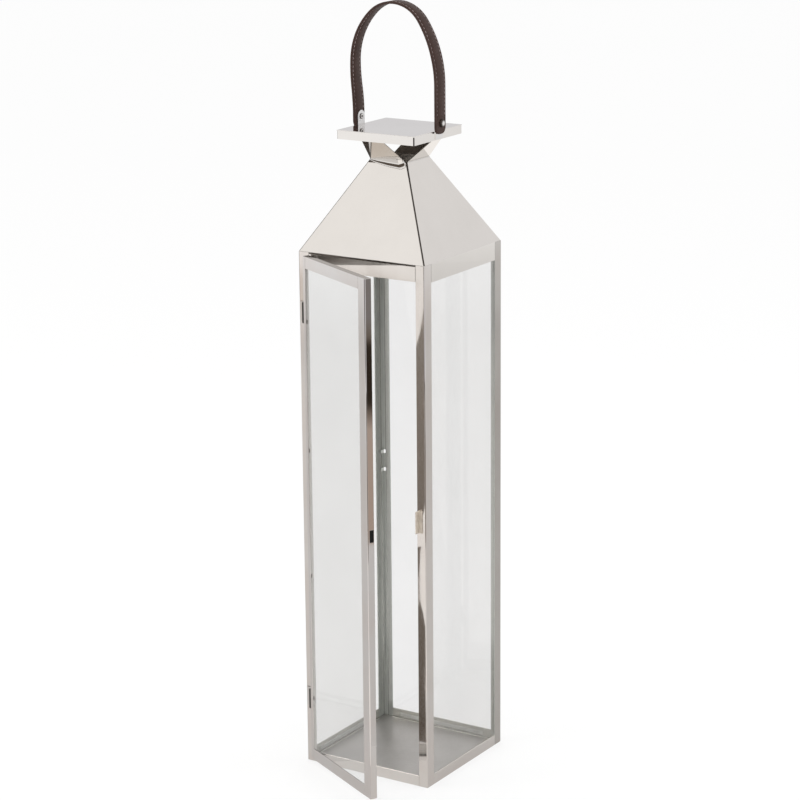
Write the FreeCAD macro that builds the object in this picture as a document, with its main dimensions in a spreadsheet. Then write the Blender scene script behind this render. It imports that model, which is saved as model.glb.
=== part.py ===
import FreeCAD, Part
import math
import os
import re

import Sketcher

# Candle lantern of polished sheet steel: a tall glazed body with an overlay door,
# a pyramid roof whose vent flaps carry a flat cap, and a riveted leather strap handle.
# Frame: origin on the floor under the middle of the body, +Z up, the door on the -Y face,
# its hinges on the -X side. The door is modelled ajar, as it stands at rest.

# Driving dimensions in millimetres, the door's opening in degrees.
SIZES = {
    # sheet metal body
    "body_width": 180,
    "eave_height": 662,
    "sheet": 1.0,
    "bend_radius": 1.4,
    "fit_gap": 0.2,
    "post_flange": 15.3,
    "hinge_flange": 15.0,
    "latch_flange": 12.6,
    "floor_gauge": 1.5,
    "rail_height": 13.7,
    "rail_foot": 4.0,
    "lintel_height": 18.2,
    "lintel_gap": 2.2,
    "lintel_return": 8.0,
    # fixed glass and what holds it
    "glass_gauge": 2.0,
    "pane_setback": 0.6,
    "pane_inset": 3.0,
    "pane_cover": 12.0,
    "pane_lug_gap": 0.6,
    "sealant_lift": 1.5,
    "sealant_height": 5.0,
    "sealant_inset": 12.0,
    "lug_length": 6.0,
    "lug_height": 5.0,
    "lug_slot": 4.0,
    "lug_lift": 23.0,
    "lug_pitch": 24.0,
    # roof and cap
    "skirt_drop": 22.5,
    "neck_side": 53.0,
    "roof_rise": 109.0,
    "hip_gap": 0.5,
    "flap_tip_width": 20.0,
    "flap_tip_height": 7.0,
    "flap_tip_lift": 1.0,
    "cap_side": 110.0,
    "vent_rise": 37.0,
    "cap_edge_radius": 0.6,
    "rim_drop": 11.0,
    "rim_seam": 0.4,
    # handle
    "ear_width": 15.0,
    "ear_gauge": 1.2,
    "ear_foot": 10.0,
    "rivet_rise": 9.3,
    "rivet_radius": 2.0,
    "rivet_clearance": 0.05,
    "head_radius": 5.0,
    "head_rise": 2.6,
    "head_round": 2.34,
    "ring_radius": 3.3,
    "ring_bore": 1.5,
    "ring_rise": 1.0,
    "strap_width": 20.0,
    "ply_gauge": 1.5,
    "ply_gap": 0.1,
    "strap_play": 0.3,
    "strap_tail": 12.8,
    "strap_end_radius": 8.0,
    "arch_rise": 141.1,
    "arch_lean": 3.8,
    "crown_radius": 46.0,
    "left_straight": 14.7,
    "left_shoulder": 66.7,
    "left_bulge": 3.0,
    "right_shoulder": 44.7,
    # door
    "latch_inset": 11.5,
    "door_bottom": 8.5,
    "door_eave_gap": 3.0,
    "door_depth": 9.0,
    "door_play": 0.3,
    "door_angle": 28.0,
    "hinge_stile": 6.5,
    "latch_stile": 16.0,
    "door_rail": 14.5,
    "door_glass_gap": 0.1,
    # hinges
    "hinge_inset": 11.5,
    "axis_setback": 1.5,
    "hinge_length": 24.4,
    "lower_hinge": 75.8,
    "upper_hinge_drop": 86.0,
    "knuckle_radius": 2.0,
    "knuckle_gap": 0.2,
    "leaf_gauge": 1.0,
    "leaf_clear": 0.5,
    "pin_radius": 1.0,
    "pin_clearance": 0.05,
    "pin_head_radius": 1.6,
    "pin_head_height": 0.8,
    # catch
    "catch_lift": 14.0,
    "strike_length": 28.0,
    "strike_reach": 7.0,
    "strike_foot": 5.0,
    "strike_clearance": 0.6,
    "magnet_length": 15.0,
    "magnet_depth": 5.0,
    "magnet_width": 5.0,
    "magnet_gap": 0.3,
}

# Places that several pieces share, worked out from the driving dimensions.
HALF = "(body_width / 2)"
INNER = "(body_width / 2 - sheet)"
MIDDLE = "(eave_height / 2)"
NECK = "(eave_height + roof_rise)"
CAP_TOP = "(eave_height + roof_rise + vent_rise)"
FOOT_TOP = "(floor_gauge + sheet)"
PANE_BACK = "(body_width / 2 - sheet - pane_setback - glass_gauge)"
SIDE_SPAN = "(body_width / 2 - post_flange - fit_gap)"
FRONT_LEFT = "(-body_width / 2 + hinge_flange + fit_gap)"
FRONT_SPAN = "(body_width - hinge_flange - latch_flange - 2 * fit_gap)"
LINTEL_TOP = "(eave_height - lintel_gap)"
RIVET_HEIGHT = "(eave_height + roof_rise + vent_rise + rivet_rise)"
RIM = "(cap_side / 2)"
STRAP_STACK = "(2 * strap_play + 2 * ply_gauge + ply_gap)"
AXIS_X = "(-body_width / 2 + hinge_inset)"
AXIS_Y = "(-body_width / 2 - door_play - door_depth + axis_setback)"
DOOR_TOP = "(eave_height - door_eave_gap)"
DOOR_FRONT = "(-axis_setback)"
DOOR_BACK = "(door_depth - axis_setback)"
DOOR_LEFT = "knuckle_radius"
DOOR_RIGHT = "(body_width - hinge_inset - latch_inset)"
DOOR_GLASS_BACK = "(-axis_setback + sheet + door_glass_gap + glass_gauge)"
DOOR_HEIGHT = "(eave_height - door_eave_gap - door_bottom)"
CATCH = "(eave_height / 2 + catch_lift)"

# How near a corner lies to a wanted place to count as standing there.
SAME_PLACE = 1e-4

doc = FreeCAD.newDocument("candle_lantern")
dims = doc.addObject("Spreadsheet::Sheet", "dims")
for row, (name, value) in enumerate(SIZES.items(), start=1):
    dims.set(f"A{row}", name)
    dims.set(f"B{row}", str(value))
    dims.setAlias(f"B{row}", name)
doc.recompute()

subparts = []


def formula(text):
    """Point each size name in a formula at its cell."""
    return re.sub(r"[a-z_]+", lambda word: f"dims.{word[0]}" if word[0] in SIZES else word[0], text)


def cap_top():
    """Height of the cap's upper face above the ground."""
    return dims.eave_height + dims.roof_rise + dims.vent_rise


def new_body(label, turn=0):
    """Start a sub-part, turned about the lantern's upright axis."""
    body = doc.addObject("PartDesign::Body", label)
    body.Placement.Rotation = FreeCAD.Rotation(FreeCAD.Vector(0, 0, 1), turn)
    subparts.append(body)
    return body


def on_hinge_axis(body, height="0", swings=False):
    """Place a sub-part's origin on the door's hinge axis; what swings takes the door's angle."""
    if swings:
        body.Placement.Rotation = FreeCAD.Rotation(FreeCAD.Vector(0, 0, 1), -SIZES["door_angle"])
        body.setExpression("Placement.Rotation.Angle", formula("-door_angle"))
    body.setExpression("Placement.Base.x", formula(AXIS_X))
    body.setExpression("Placement.Base.y", formula(AXIS_Y))
    body.setExpression("Placement.Base.z", formula(height))


def new_sketch(body, plane_role, start):
    """Open a sketch parallel to one of the body's planes, start away along its normal."""
    plane = next(item for item in body.Origin.OriginFeatures if item.Role == plane_role)
    sketch = body.newObject("Sketcher::SketchObject", f"{body.Label}_sketch")
    sketch.AttachmentSupport = [(plane, "")]
    sketch.MapMode = "FlatFace"
    sketch.setExpression("AttachmentOffset.Base.z", formula(start))
    return sketch


def pin_point(sketch, geometry, point, place):
    """Hold a point of the sketch at a pair of formulas."""
    for kind, axis, text in (("DistanceX", -2, place[0]), ("DistanceY", -1, place[1])):
        if text == "0":
            sketch.addConstraint(Sketcher.Constraint("PointOnObject", geometry, point, axis))
        else:
            index = sketch.addConstraint(Sketcher.Constraint(kind, -1, 1, geometry, point, 1.0))
            sketch.setExpression(f"Constraints[{index}]", formula(text))


def draw_outline(sketch, corners):
    """Draw a closed outline whose corners are pairs of formulas."""
    count = len(corners)
    first = sketch.GeometryCount
    ring = [FreeCAD.Vector(math.cos(math.tau * i / count), math.sin(math.tau * i / count), 0)
            for i in range(count)]
    for i in range(count):
        sketch.addGeometry(Part.LineSegment(ring[i], ring[(i + 1) % count]), False)
    for i in range(count):
        sketch.addConstraint(Sketcher.Constraint("Coincident", first + i, 2, first + (i + 1) % count, 1))
    for i, corner in enumerate(corners):
        pin_point(sketch, first + i, 1, corner)


def draw_circle(sketch, centre, radius):
    """Draw a circle whose centre and radius are formulas."""
    circle = sketch.addGeometry(Part.Circle(), False)
    pin_point(sketch, circle, 3, centre)
    index = sketch.addConstraint(Sketcher.Constraint("Radius", circle, 1.0))
    sketch.setExpression(f"Constraints[{index}]", formula(radius))


def extrude(body, sketch, length, cuts=False):
    """Grow a sketch along its normal, adding to the body or cutting it."""
    before = body.Shape.Volume if cuts else 0
    kind = "PartDesign::Pocket" if cuts else "PartDesign::Pad"
    feature = body.newObject(kind, f"{body.Label}_{'cut' if cuts else 'pad'}")
    feature.Profile = sketch
    feature.Reversed = cuts
    feature.setExpression("Length", formula(length))
    doc.recompute()
    if cuts and body.Shape.Volume >= before:
        raise RuntimeError(f"{body.Label}: a cut missed the solid")


def prism(body, plane_role, corners, start, length, cuts=False):
    """Extrude an outline from start over length."""
    sketch = new_sketch(body, plane_role, start)
    draw_outline(sketch, corners)
    extrude(body, sketch, length, cuts)


def round_bar(body, plane_role, centre, radius, start, length, cuts=False):
    """Extrude a circle from start over length."""
    sketch = new_sketch(body, plane_role, start)
    draw_circle(sketch, centre, radius)
    extrude(body, sketch, length, cuts)


def rectangle(x_low, x_high, y_low, y_high):
    """Corners of a rectangle from four formulas."""
    return [(x_low, y_low), (x_high, y_low), (x_high, y_high), (x_low, y_high)]


def block(body, x_span, y_span, z_start, z_length, cuts=False):
    """Extrude an upright block from spans of formulas."""
    prism(body, "XY_Plane", rectangle(*x_span, *y_span), z_start, z_length, cuts)


def round_edges(body, radius, chosen):
    """Round the edges of the body that the chosen test picks in its own frame."""
    doc.recompute()
    tip = body.Tip
    names = [f"Edge{i}" for i, edge in enumerate(tip.Shape.Edges, start=1) if chosen(edge)]
    fillet = body.newObject("PartDesign::Fillet", f"{body.Label}_bend")
    fillet.Base = (tip, names)
    fillet.setExpression("Radius", formula(radius))
    doc.recompute()


def upright_at(x, y):
    """Test for upright edges that stand at a point of the plan."""
    def chosen(edge):
        near = [max(abs(v.X - x), abs(v.Y - y)) < SAME_PLACE for v in edge.Vertexes]
        return len(near) == 2 and all(near)
    return chosen


def side_piece(label, turn, x_half, y_span, z_start, z_length):
    """A block along one side of the body, drawn on the front and turned to its side."""
    body = new_body(label, turn)
    block(body, (f"-({x_half})", x_half), y_span, z_start, z_length)


def make_floor():
    body = new_body("floor_plate")
    reach = f"({INNER} - fit_gap)"
    block(body, (f"-{reach}", reach), (f"-{reach}", reach), "0", "floor_gauge")


def make_bottom_rail(label, turn, start, length):
    """Upright band between two posts, with a foot that laps the floor plate."""
    wall = f"(-{INNER})"
    toe = f"({wall} + rail_foot)"
    profile = [(f"-{HALF}", "0"), (wall, "0"), (wall, "floor_gauge"), (toe, "floor_gauge"),
               (toe, FOOT_TOP), (wall, FOOT_TOP), (wall, "rail_height"), (f"-{HALF}", "rail_height")]
    body = new_body(label, turn)
    prism(body, "YZ_Plane", profile, start, length)


def make_lintel():
    """Band over the door with a return along its top."""
    wall = f"(-{INNER})"
    profile = [(f"-{HALF}", f"{LINTEL_TOP} - lintel_height"), (wall, f"{LINTEL_TOP} - lintel_height"),
               (wall, f"{LINTEL_TOP} - sheet"), (f"{wall} + lintel_return", f"{LINTEL_TOP} - sheet"),
               (f"{wall} + lintel_return", LINTEL_TOP), (f"-{HALF}", LINTEL_TOP)]
    body = new_body("lintel_front")
    prism(body, "YZ_Plane", profile, FRONT_LEFT, FRONT_SPAN)


def make_post(label, x_sign, y_sign, face_flange):
    """Corner post: an L of bent sheet. The face flange lies on the door side or the back."""
    body = new_body(label)
    edge_x = f"{x_sign} * ({HALF} - {face_flange})"
    edge_y = f"{y_sign} * ({HALF} - post_flange)"
    out_x, in_x = f"{x_sign} * {HALF}", f"{x_sign} * {INNER}"
    out_y, in_y = f"{y_sign} * {HALF}", f"{y_sign} * {INNER}"
    profile = [(out_x, out_y), (edge_x, out_y), (edge_x, in_y), (in_x, in_y), (in_x, edge_y), (out_x, edge_y)]
    prism(body, "XY_Plane", profile, "0", "eave_height")
    half = dims.body_width / 2
    round_edges(body, "bend_radius", upright_at(x_sign * half, y_sign * half))
    return body


def add_pane_lugs(body, x_sign):
    """Lance two lugs out of a back post to hold a side pane's edge."""
    hold = f"({PANE_BACK} - fit_gap)"
    root = f"({hold} - sheet)"
    for step in (-0.5, 0.5):
        low = f"{MIDDLE} + lug_lift + {step} * lug_pitch - lug_height / 2"
        slot = (f"{x_sign} * ({root} - lug_slot)", f"{x_sign} * {root}")
        block(body, slot, (f"{INNER} - fit_gap", f"{HALF} + fit_gap"), low, "lug_height", cuts=True)
        lug = (f"{x_sign} * {root}", f"{x_sign} * {hold}")
        block(body, lug, (f"{INNER} - lug_length", INNER), low, "lug_height")


def make_frame():
    make_floor()
    make_bottom_rail("sill_front", 0, FRONT_LEFT, FRONT_SPAN)
    for side, turn in (("right", 90), ("back", 180), ("left", 270)):
        make_bottom_rail(f"bottom_rail_{side}", turn, f"-{SIDE_SPAN}", f"2 * {SIDE_SPAN}")
    make_lintel()
    make_post("post_front_left", -1, -1, "hinge_flange")
    make_post("post_front_right", 1, -1, "latch_flange")
    add_pane_lugs(make_post("post_back_left", -1, 1, "post_flange"), -1)
    add_pane_lugs(make_post("post_back_right", 1, 1, "post_flange"), 1)


def make_glazing():
    """Three fixed panes standing on the rails' feet, bedded on sealant."""
    outer = f"(-{INNER} + pane_setback)"
    pane_span = (outer, f"-{PANE_BACK}")
    pane_height = f"eave_height - skirt_drop + pane_cover - {FOOT_TOP}"
    back_half = f"({PANE_BACK} - sheet - lug_slot - pane_lug_gap)"
    for side, turn, x_half in (("right", 90, f"({INNER} - pane_inset)"), ("back", 180, back_half),
                               ("left", 270, f"({INNER} - pane_inset)")):
        side_piece(f"glass_{side}", turn, x_half, pane_span, FOOT_TOP, pane_height)
        side_piece(f"sealant_{side}", turn, f"({SIDE_SPAN} - sealant_inset)", (f"-{INNER}", outer),
                   f"{FOOT_TOP} + sealant_lift", "sealant_height")


def make_roof_panel(label, turn, skirted):
    """One roof slope bent outwards at the neck into a vent flap whose tip lies on the cap rim."""
    run, rise = "((body_width - neck_side) / 2)", "roof_rise"
    tip_out, tip_in = f"({RIM} - sheet)", f"({RIM} - 2 * sheet)"
    tip_low = f"({CAP_TOP} - rim_drop + flap_tip_lift)"
    flap_run, flap_rise = f"({tip_out} - neck_side / 2)", "(vent_rise - rim_drop + flap_tip_lift)"
    slope_inset = f"(sheet * sqrt({run}^2 + {rise}^2) / {rise})"
    flap_inset = f"(sheet * sqrt({flap_run}^2 + {flap_rise}^2) / {flap_rise})"
    neck_drop = f"(({slope_inset} - {flap_inset}) / ({run} / {rise} + {flap_run} / {flap_rise}))"
    neck_in = f"(neck_side / 2 + {neck_drop} * {run} / {rise} - {slope_inset})"
    elbow = f"({NECK} + ({tip_in} - neck_side / 2 + {flap_inset}) * {flap_rise} / {flap_run})"
    tip_top = f"({tip_low} + flap_tip_height)"
    profile = [(f"-{HALF}", "eave_height"), ("-neck_side / 2", NECK), (f"-{tip_out}", tip_low),
               (f"-{tip_out}", tip_top), (f"-{tip_in}", tip_top), (f"-{tip_in}", elbow),
               (f"-{neck_in}", f"{NECK} - {neck_drop}"), (f"-({HALF} - {slope_inset})", "eave_height")]
    body = new_body(label, turn)
    prism(body, "YZ_Plane", profile, f"-{HALF}", "body_width")

    seam = f"({slope_inset} + hip_gap)"
    low, high = "eave_height - sheet", f"{tip_top} + sheet"
    for sign in (-1, 1):
        edge = [(f"{sign} * ({HALF} - {seam})", low), (f"{sign} * ({HALF} - {seam})", "eave_height"),
                (f"{sign} * (neck_side / 2 - {seam})", NECK),
                (f"{sign} * flap_tip_width / 2", tip_low), (f"{sign} * flap_tip_width / 2", high),
                (f"{sign} * body_width", high), (f"{sign} * body_width", low)]
        prism(body, "XZ_Plane", edge, "0", f"{HALF} + sheet", cuts=True)
    if skirted:
        block(body, (f"-{SIDE_SPAN}", SIDE_SPAN), (f"-{HALF}", f"-{INNER}"),
              "eave_height - skirt_drop", "skirt_drop")


def make_cap():
    """Flat square tray upside down, its rim open at the corners."""
    body = new_body("cap_tray")
    block(body, (f"-{RIM}", RIM), (f"-{RIM}", RIM), f"{CAP_TOP} - sheet", "sheet")
    top, edge = cap_top(), dims.cap_side / 2

    def on_top_edge(corner):
        out = max(abs(corner.X), abs(corner.Y))
        return max(abs(corner.Z - top), abs(out - edge)) < SAME_PLACE

    round_edges(body, "cap_edge_radius", lambda line: all(on_top_edge(v) for v in line.Vertexes))
    wall, reach = f"({RIM} - sheet)", f"({RIM} - sheet - rim_seam)"
    for sign in (-1, 1):
        low, depth = f"{CAP_TOP} - rim_drop", "rim_drop - sheet / 2"
        across, along = (f"{sign} * {wall}", f"{sign} * {RIM}"), (f"-{reach}", reach)
        block(body, across, along, low, depth)
        block(body, along, across, low, depth)


def make_roof():
    make_roof_panel("roof_panel_front", 0, skirted=False)
    for side, turn in (("right", 90), ("back", 180), ("left", 270)):
        make_roof_panel(f"roof_panel_{side}", turn, skirted=True)
    make_cap()


def make_handle_mounts(side, turn):
    """Ear on the cap rim and the rivet that pivots the strap, drawn on the right."""
    ear = new_body(f"handle_ear_{side}", turn)
    across = ("-ear_width / 2", "ear_width / 2")
    prism(ear, "YZ_Plane", rectangle(*across, f"{CAP_TOP} - ear_foot", RIVET_HEIGHT), RIM, "ear_gauge")
    round_bar(ear, "YZ_Plane", ("0", RIVET_HEIGHT), "ear_width / 2", RIM, "ear_gauge")
    hole = "rivet_radius + rivet_clearance"
    round_bar(ear, "YZ_Plane", ("0", RIVET_HEIGHT), hole, RIM, "ear_gauge", cuts=True)

    rivet = new_body(f"handle_rivet_{side}", turn)
    head_base = f"({RIM} + ear_gauge + {STRAP_STACK})"
    round_bar(rivet, "YZ_Plane", ("0", RIVET_HEIGHT), "head_radius", head_base, "head_rise")
    face = dims.cap_side / 2 + dims.ear_gauge + dims.head_rise
    face += 2 * dims.strap_play + 2 * dims.ply_gauge + dims.ply_gap
    round_edges(rivet, "head_round", lambda edge: all(abs(v.X - face) < SAME_PLACE for v in edge.Vertexes))
    tail = f"({RIM} - ring_rise)"
    round_bar(rivet, "YZ_Plane", ("0", RIVET_HEIGHT), "rivet_radius", RIM, f"ear_gauge + {STRAP_STACK}")
    round_bar(rivet, "YZ_Plane", ("0", RIVET_HEIGHT), "ring_radius", tail, "ring_rise")
    round_bar(rivet, "YZ_Plane", ("0", RIVET_HEIGHT), "ring_bore", tail, "ring_rise + ear_gauge", cuts=True)


def arch_curve(shift):
    """Edges of the strap's line from the left end to the right, shifted outwards from its middle."""
    pivot = cap_top() + dims.rivet_rise
    leg = dims.cap_side / 2 + dims.ear_gauge + dims.strap_play + dims.ply_gauge + dims.ply_gap / 2
    end, straight = pivot - dims.strap_tail, pivot + dims.left_straight
    left_z, right_z = pivot + dims.left_shoulder, pivot + dims.right_shoulder
    left_x = leg + dims.left_bulge
    crown = FreeCAD.Vector(-dims.arch_lean, 0, pivot + dims.arch_rise - dims.crown_radius)

    def shoulder_radius(half_width, rise):
        slack = half_width**2 + rise**2 - 2 * rise * dims.crown_radius
        return slack / (2 * (half_width - dims.crown_radius))

    top = pivot + dims.arch_rise
    left_radius = shoulder_radius(left_x - dims.arch_lean, top - left_z)
    right_radius = shoulder_radius(leg + dims.arch_lean, top - right_z)
    left_centre = FreeCAD.Vector(left_radius - left_x, 0, left_z)
    right_centre = FreeCAD.Vector(leg - right_radius, 0, right_z)
    sway = left_z - straight
    sway_radius = (sway**2 + dims.left_bulge**2) / (4 * dims.left_bulge)
    sway_angle = math.asin(sway / (2 * sway_radius))

    def on_arc(centre, radius, angle):
        return centre + FreeCAD.Vector(radius * math.cos(angle), 0, radius * math.sin(angle))

    def arc(centre, radius, start, finish):
        places = [on_arc(centre, radius, angle) for angle in (start, (start + finish) / 2, finish)]
        return Part.Arc(*places).toShape()

    def heading(centre):
        return math.atan2(crown.z - centre.z, crown.x - centre.x)

    sway_out = FreeCAD.Vector(-leg - sway_radius, 0, straight)
    sway_in = FreeCAD.Vector(sway_radius - left_x, 0, left_z)
    crown_left, crown_right = heading(left_centre), heading(right_centre)
    reach = leg + shift
    return [
        Part.LineSegment(FreeCAD.Vector(-reach, 0, end), FreeCAD.Vector(-reach, 0, straight)).toShape(),
        arc(sway_out, sway_radius - shift, 0, sway_angle),
        arc(sway_in, sway_radius + shift, math.pi + sway_angle, math.pi),
        arc(left_centre, left_radius + shift, math.pi, crown_left),
        arc(crown, dims.crown_radius + shift, crown_left, crown_right),
        arc(right_centre, right_radius + shift, crown_right, 0),
        Part.LineSegment(FreeCAD.Vector(reach, 0, right_z), FreeCAD.Vector(reach, 0, end)).toShape(),
    ]


def make_ply(label, inside, outside):
    """One leather ply between two shifts of the strap's line, holed for the rivets."""
    inner, outer = arch_curve(inside), arch_curve(outside)
    left = (inner[0].Vertexes[0].Point, outer[0].Vertexes[0].Point)
    right = (inner[-1].Vertexes[-1].Point, outer[-1].Vertexes[-1].Point)
    caps = [Part.LineSegment(*pair).toShape() for pair in (left, right)]
    outline = Part.Wire(Part.__sortEdges__(inner + outer + caps))
    band = Part.Face(outline).extrude(FreeCAD.Vector(0, dims.strap_width, 0))
    band.translate(FreeCAD.Vector(0, -dims.strap_width / 2, 0))
    pivot = cap_top() + dims.rivet_rise
    end = pivot - dims.strap_tail

    def through_ply(edge):
        first, last = edge.Vertexes[0], edge.Vertexes[-1]
        level = max(abs(first.Z - end), abs(last.Z - end)) < SAME_PLACE
        return level and abs(first.Y - last.Y) < SAME_PLACE

    corners = [edge for edge in band.Edges if through_ply(edge)]
    band = band.makeFillet(dims.strap_end_radius, corners)
    hole = Part.makeCylinder(dims.rivet_radius + dims.rivet_clearance, 2 * dims.cap_side,
                             FreeCAD.Vector(-dims.cap_side, 0, pivot),
                             FreeCAD.Vector(1, 0, 0))
    ply = doc.addObject("Part::Feature", label)
    ply.Shape = band.cut(hole)
    subparts.append(ply)


def make_handle():
    make_handle_mounts("right", 0)
    make_handle_mounts("left", 180)
    near, far = dims.ply_gap / 2, dims.ply_gap / 2 + dims.ply_gauge
    make_ply("strap_outer_ply", near, far)
    make_ply("strap_inner_ply", -far, -near)


def door_body(label, height="0"):
    body = new_body(label)
    on_hinge_axis(body, height, swings=True)
    return body


def make_stile(label, edge, sign, width):
    """Upright door member: a front leg, a return along the door's edge and lugs behind the glass."""
    body = door_body(label)
    front_in = f"({DOOR_FRONT} + sheet)"
    leg, inner = f"({edge} + {sign} * {width})", f"({edge} + {sign} * sheet)"
    profile = [(edge, DOOR_FRONT), (leg, DOOR_FRONT), (leg, front_in), (inner, front_in),
               (inner, DOOR_BACK), (edge, DOOR_BACK)]
    prism(body, "XY_Plane", profile, "door_bottom", DOOR_HEIGHT)
    latch_edge = dims.body_width - dims.hinge_inset - dims.latch_inset
    outer_x = latch_edge if sign < 0 else dims.knuckle_radius
    round_edges(body, "bend_radius", upright_at(outer_x, -dims.axis_setback))
    lug_y = f"({DOOR_GLASS_BACK} + fit_gap)"
    for step in (-1.5, -0.5, 0.5, 1.5):
        low = f"({DOOR_TOP} + door_bottom - lug_height) / 2 + {step} * {DOOR_HEIGHT} / 4"
        block(body, (inner, f"{inner} + {sign} * lug_length"), (lug_y, f"{lug_y} + sheet"), low, "lug_height")
    return body


def make_door_rail(label, outer, sign):
    """Level door member between the stiles: a front leg and a return along the door's edge."""
    body = door_body(label)
    front_in = f"({DOOR_FRONT} + sheet)"
    low_leg = outer if sign > 0 else f"{outer} - door_rail"
    low_return = outer if sign > 0 else f"{outer} - sheet"
    between = (f"{DOOR_LEFT} + hinge_stile + fit_gap", f"{DOOR_RIGHT} - latch_stile - fit_gap")
    within = (f"{DOOR_LEFT} + sheet + fit_gap", f"{DOOR_RIGHT} - sheet - fit_gap")
    block(body, between, (DOOR_FRONT, front_in), low_leg, "door_rail")
    block(body, within, (front_in, DOOR_BACK), low_return, "sheet")


def make_catch(latch_stile):
    """Magnet in the latch stile's edge, facing an upright strike on the post's flange."""
    low = f"{CATCH} - magnet_length / 2"
    near = f"({DOOR_GLASS_BACK} + magnet_gap)"
    slot = (f"{near} - fit_gap", f"{near} + magnet_depth + fit_gap")
    block(latch_stile, (f"{DOOR_RIGHT} - sheet - fit_gap", f"{DOOR_RIGHT} + fit_gap"), slot,
          f"{low} - fit_gap", "magnet_length + 2 * fit_gap", cuts=True)
    magnet = door_body("catch_magnet")
    block(magnet, (f"{DOOR_RIGHT} - magnet_width", DOOR_RIGHT), (near, f"{near} + magnet_depth"),
          low, "magnet_length")

    strike = new_body("catch_strike")
    stand = f"({HALF} - latch_inset + strike_clearance)"
    profile = [(stand, f"-{HALF}"), (stand, f"-{HALF} - strike_reach"),
               (f"{stand} + sheet", f"-{HALF} - strike_reach"), (f"{stand} + sheet", f"-{HALF} - sheet"),
               (f"{stand} + sheet + strike_foot", f"-{HALF} - sheet"),
               (f"{stand} + sheet + strike_foot", f"-{HALF}")]
    prism(strike, "XY_Plane", profile, f"{CATCH} - strike_length / 2", "strike_length")


def make_door():
    make_stile("door_hinge_stile", DOOR_LEFT, 1, "hinge_stile")
    latch_stile = make_stile("door_latch_stile", DOOR_RIGHT, -1, "latch_stile")
    make_door_rail("door_top_rail", DOOR_TOP, -1)
    make_door_rail("door_bottom_rail", "door_bottom", 1)
    glass = door_body("door_glass")
    edge = "(sheet + fit_gap)"
    block(glass, (f"{DOOR_LEFT} + {edge}", f"{DOOR_RIGHT} - {edge}"),
          (f"{DOOR_FRONT} + sheet + door_glass_gap", DOOR_GLASS_BACK),
          f"door_bottom + {edge}", f"{DOOR_HEIGHT} - 2 * {edge}")
    make_catch(latch_stile)


def make_hinge(name, height):
    """Butt hinge: two knuckles on the post's leaf, one between them on the door's leaf, and a pin."""
    third = "((hinge_length - 2 * knuckle_gap) / 3)"
    flange = f"({DOOR_BACK} + door_play)"
    bore = "pin_radius + pin_clearance"

    post_leaf = new_body(f"{name}_hinge_post_leaf")
    on_hinge_axis(post_leaf, height)
    ear = ("-knuckle_radius", "-knuckle_radius + leaf_gauge")
    block(post_leaf, ("-hinge_inset + bend_radius", ear[1]), (f"{flange} - leaf_gauge", flange),
          "0", "hinge_length")
    for low in ("0", f"hinge_length - {third}"):
        block(post_leaf, ear, ("0", flange), low, third)
        round_bar(post_leaf, "XY_Plane", ("0", "0"), "knuckle_radius", low, third)
    round_bar(post_leaf, "XY_Plane", ("0", "0"), bore, "0", "hinge_length", cuts=True)

    door_leaf = door_body(f"{name}_hinge_door_leaf", height)
    plate = ("knuckle_radius - leaf_gauge", "knuckle_radius")
    swing_clear = "knuckle_radius + leaf_clear"
    block(door_leaf, plate, (swing_clear, f"{DOOR_BACK} - leaf_clear"), "0", "hinge_length")
    middle = f"({third} + knuckle_gap)"
    block(door_leaf, plate, ("0", f"{swing_clear} + leaf_gauge"), middle, third)
    round_bar(door_leaf, "XY_Plane", ("0", "0"), "knuckle_radius", middle, third)
    round_bar(door_leaf, "XY_Plane", ("0", "0"), bore, middle, third, cuts=True)

    pin = new_body(f"{name}_hinge_pin")
    on_hinge_axis(pin, height)
    round_bar(pin, "XY_Plane", ("0", "0"), "pin_radius", "0", "hinge_length")
    for low in ("-pin_head_height", "hinge_length"):
        round_bar(pin, "XY_Plane", ("0", "0"), "pin_head_radius", low, "pin_head_height")


def write_parts():
    """Check every object, then write each sub-part to its own file."""
    doc.recompute()
    broken = [item.Label for item in doc.Objects if {"Invalid", "Error"} & set(item.State)]
    broken += [item.Label for item in subparts if item.Shape.isNull() or not item.Shape.isValid()]
    if broken:
        raise RuntimeError(f"failed objects: {broken}")
    os.makedirs("parts", exist_ok=True)
    for item in subparts:
        item.Shape.exportStep(f"parts/{item.Label}.step")
        print(f"{item.Label}: {len(item.Shape.Solids)} solid, {item.Shape.Volume:.1f} mm3")


make_frame()
make_glazing()
make_roof()
make_handle()
make_door()
make_hinge("lower", "lower_hinge")
make_hinge("upper", "eave_height - upper_hinge_drop")
write_parts()
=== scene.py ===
# %% [markdown]
# # A candle lantern of polished steel, dressed for the camera
# The solids of this lantern arrive finished from the drawing office: posts, rails, roof, door, glass.
# In this lesson they keep their shapes and get their finishes, and the strap handle, which is soft,
# is sewn again from leather and thread. Every length is in metres, in the frame of the solids.

# %% Load the lantern's solids
import math

import bpy
from mathutils import Matrix, Vector


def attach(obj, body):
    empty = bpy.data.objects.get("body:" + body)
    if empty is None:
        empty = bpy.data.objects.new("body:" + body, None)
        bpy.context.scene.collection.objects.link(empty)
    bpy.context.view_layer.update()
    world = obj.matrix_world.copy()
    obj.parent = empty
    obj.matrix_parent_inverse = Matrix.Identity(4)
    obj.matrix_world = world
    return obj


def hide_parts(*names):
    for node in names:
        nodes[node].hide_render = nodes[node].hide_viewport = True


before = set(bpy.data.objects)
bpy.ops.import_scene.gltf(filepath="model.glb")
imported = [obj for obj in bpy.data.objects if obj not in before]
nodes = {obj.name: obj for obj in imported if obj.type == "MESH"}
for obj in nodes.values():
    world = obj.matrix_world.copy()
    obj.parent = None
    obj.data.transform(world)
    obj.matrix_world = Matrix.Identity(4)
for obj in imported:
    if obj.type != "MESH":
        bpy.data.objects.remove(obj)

scene = bpy.context.scene
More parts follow.
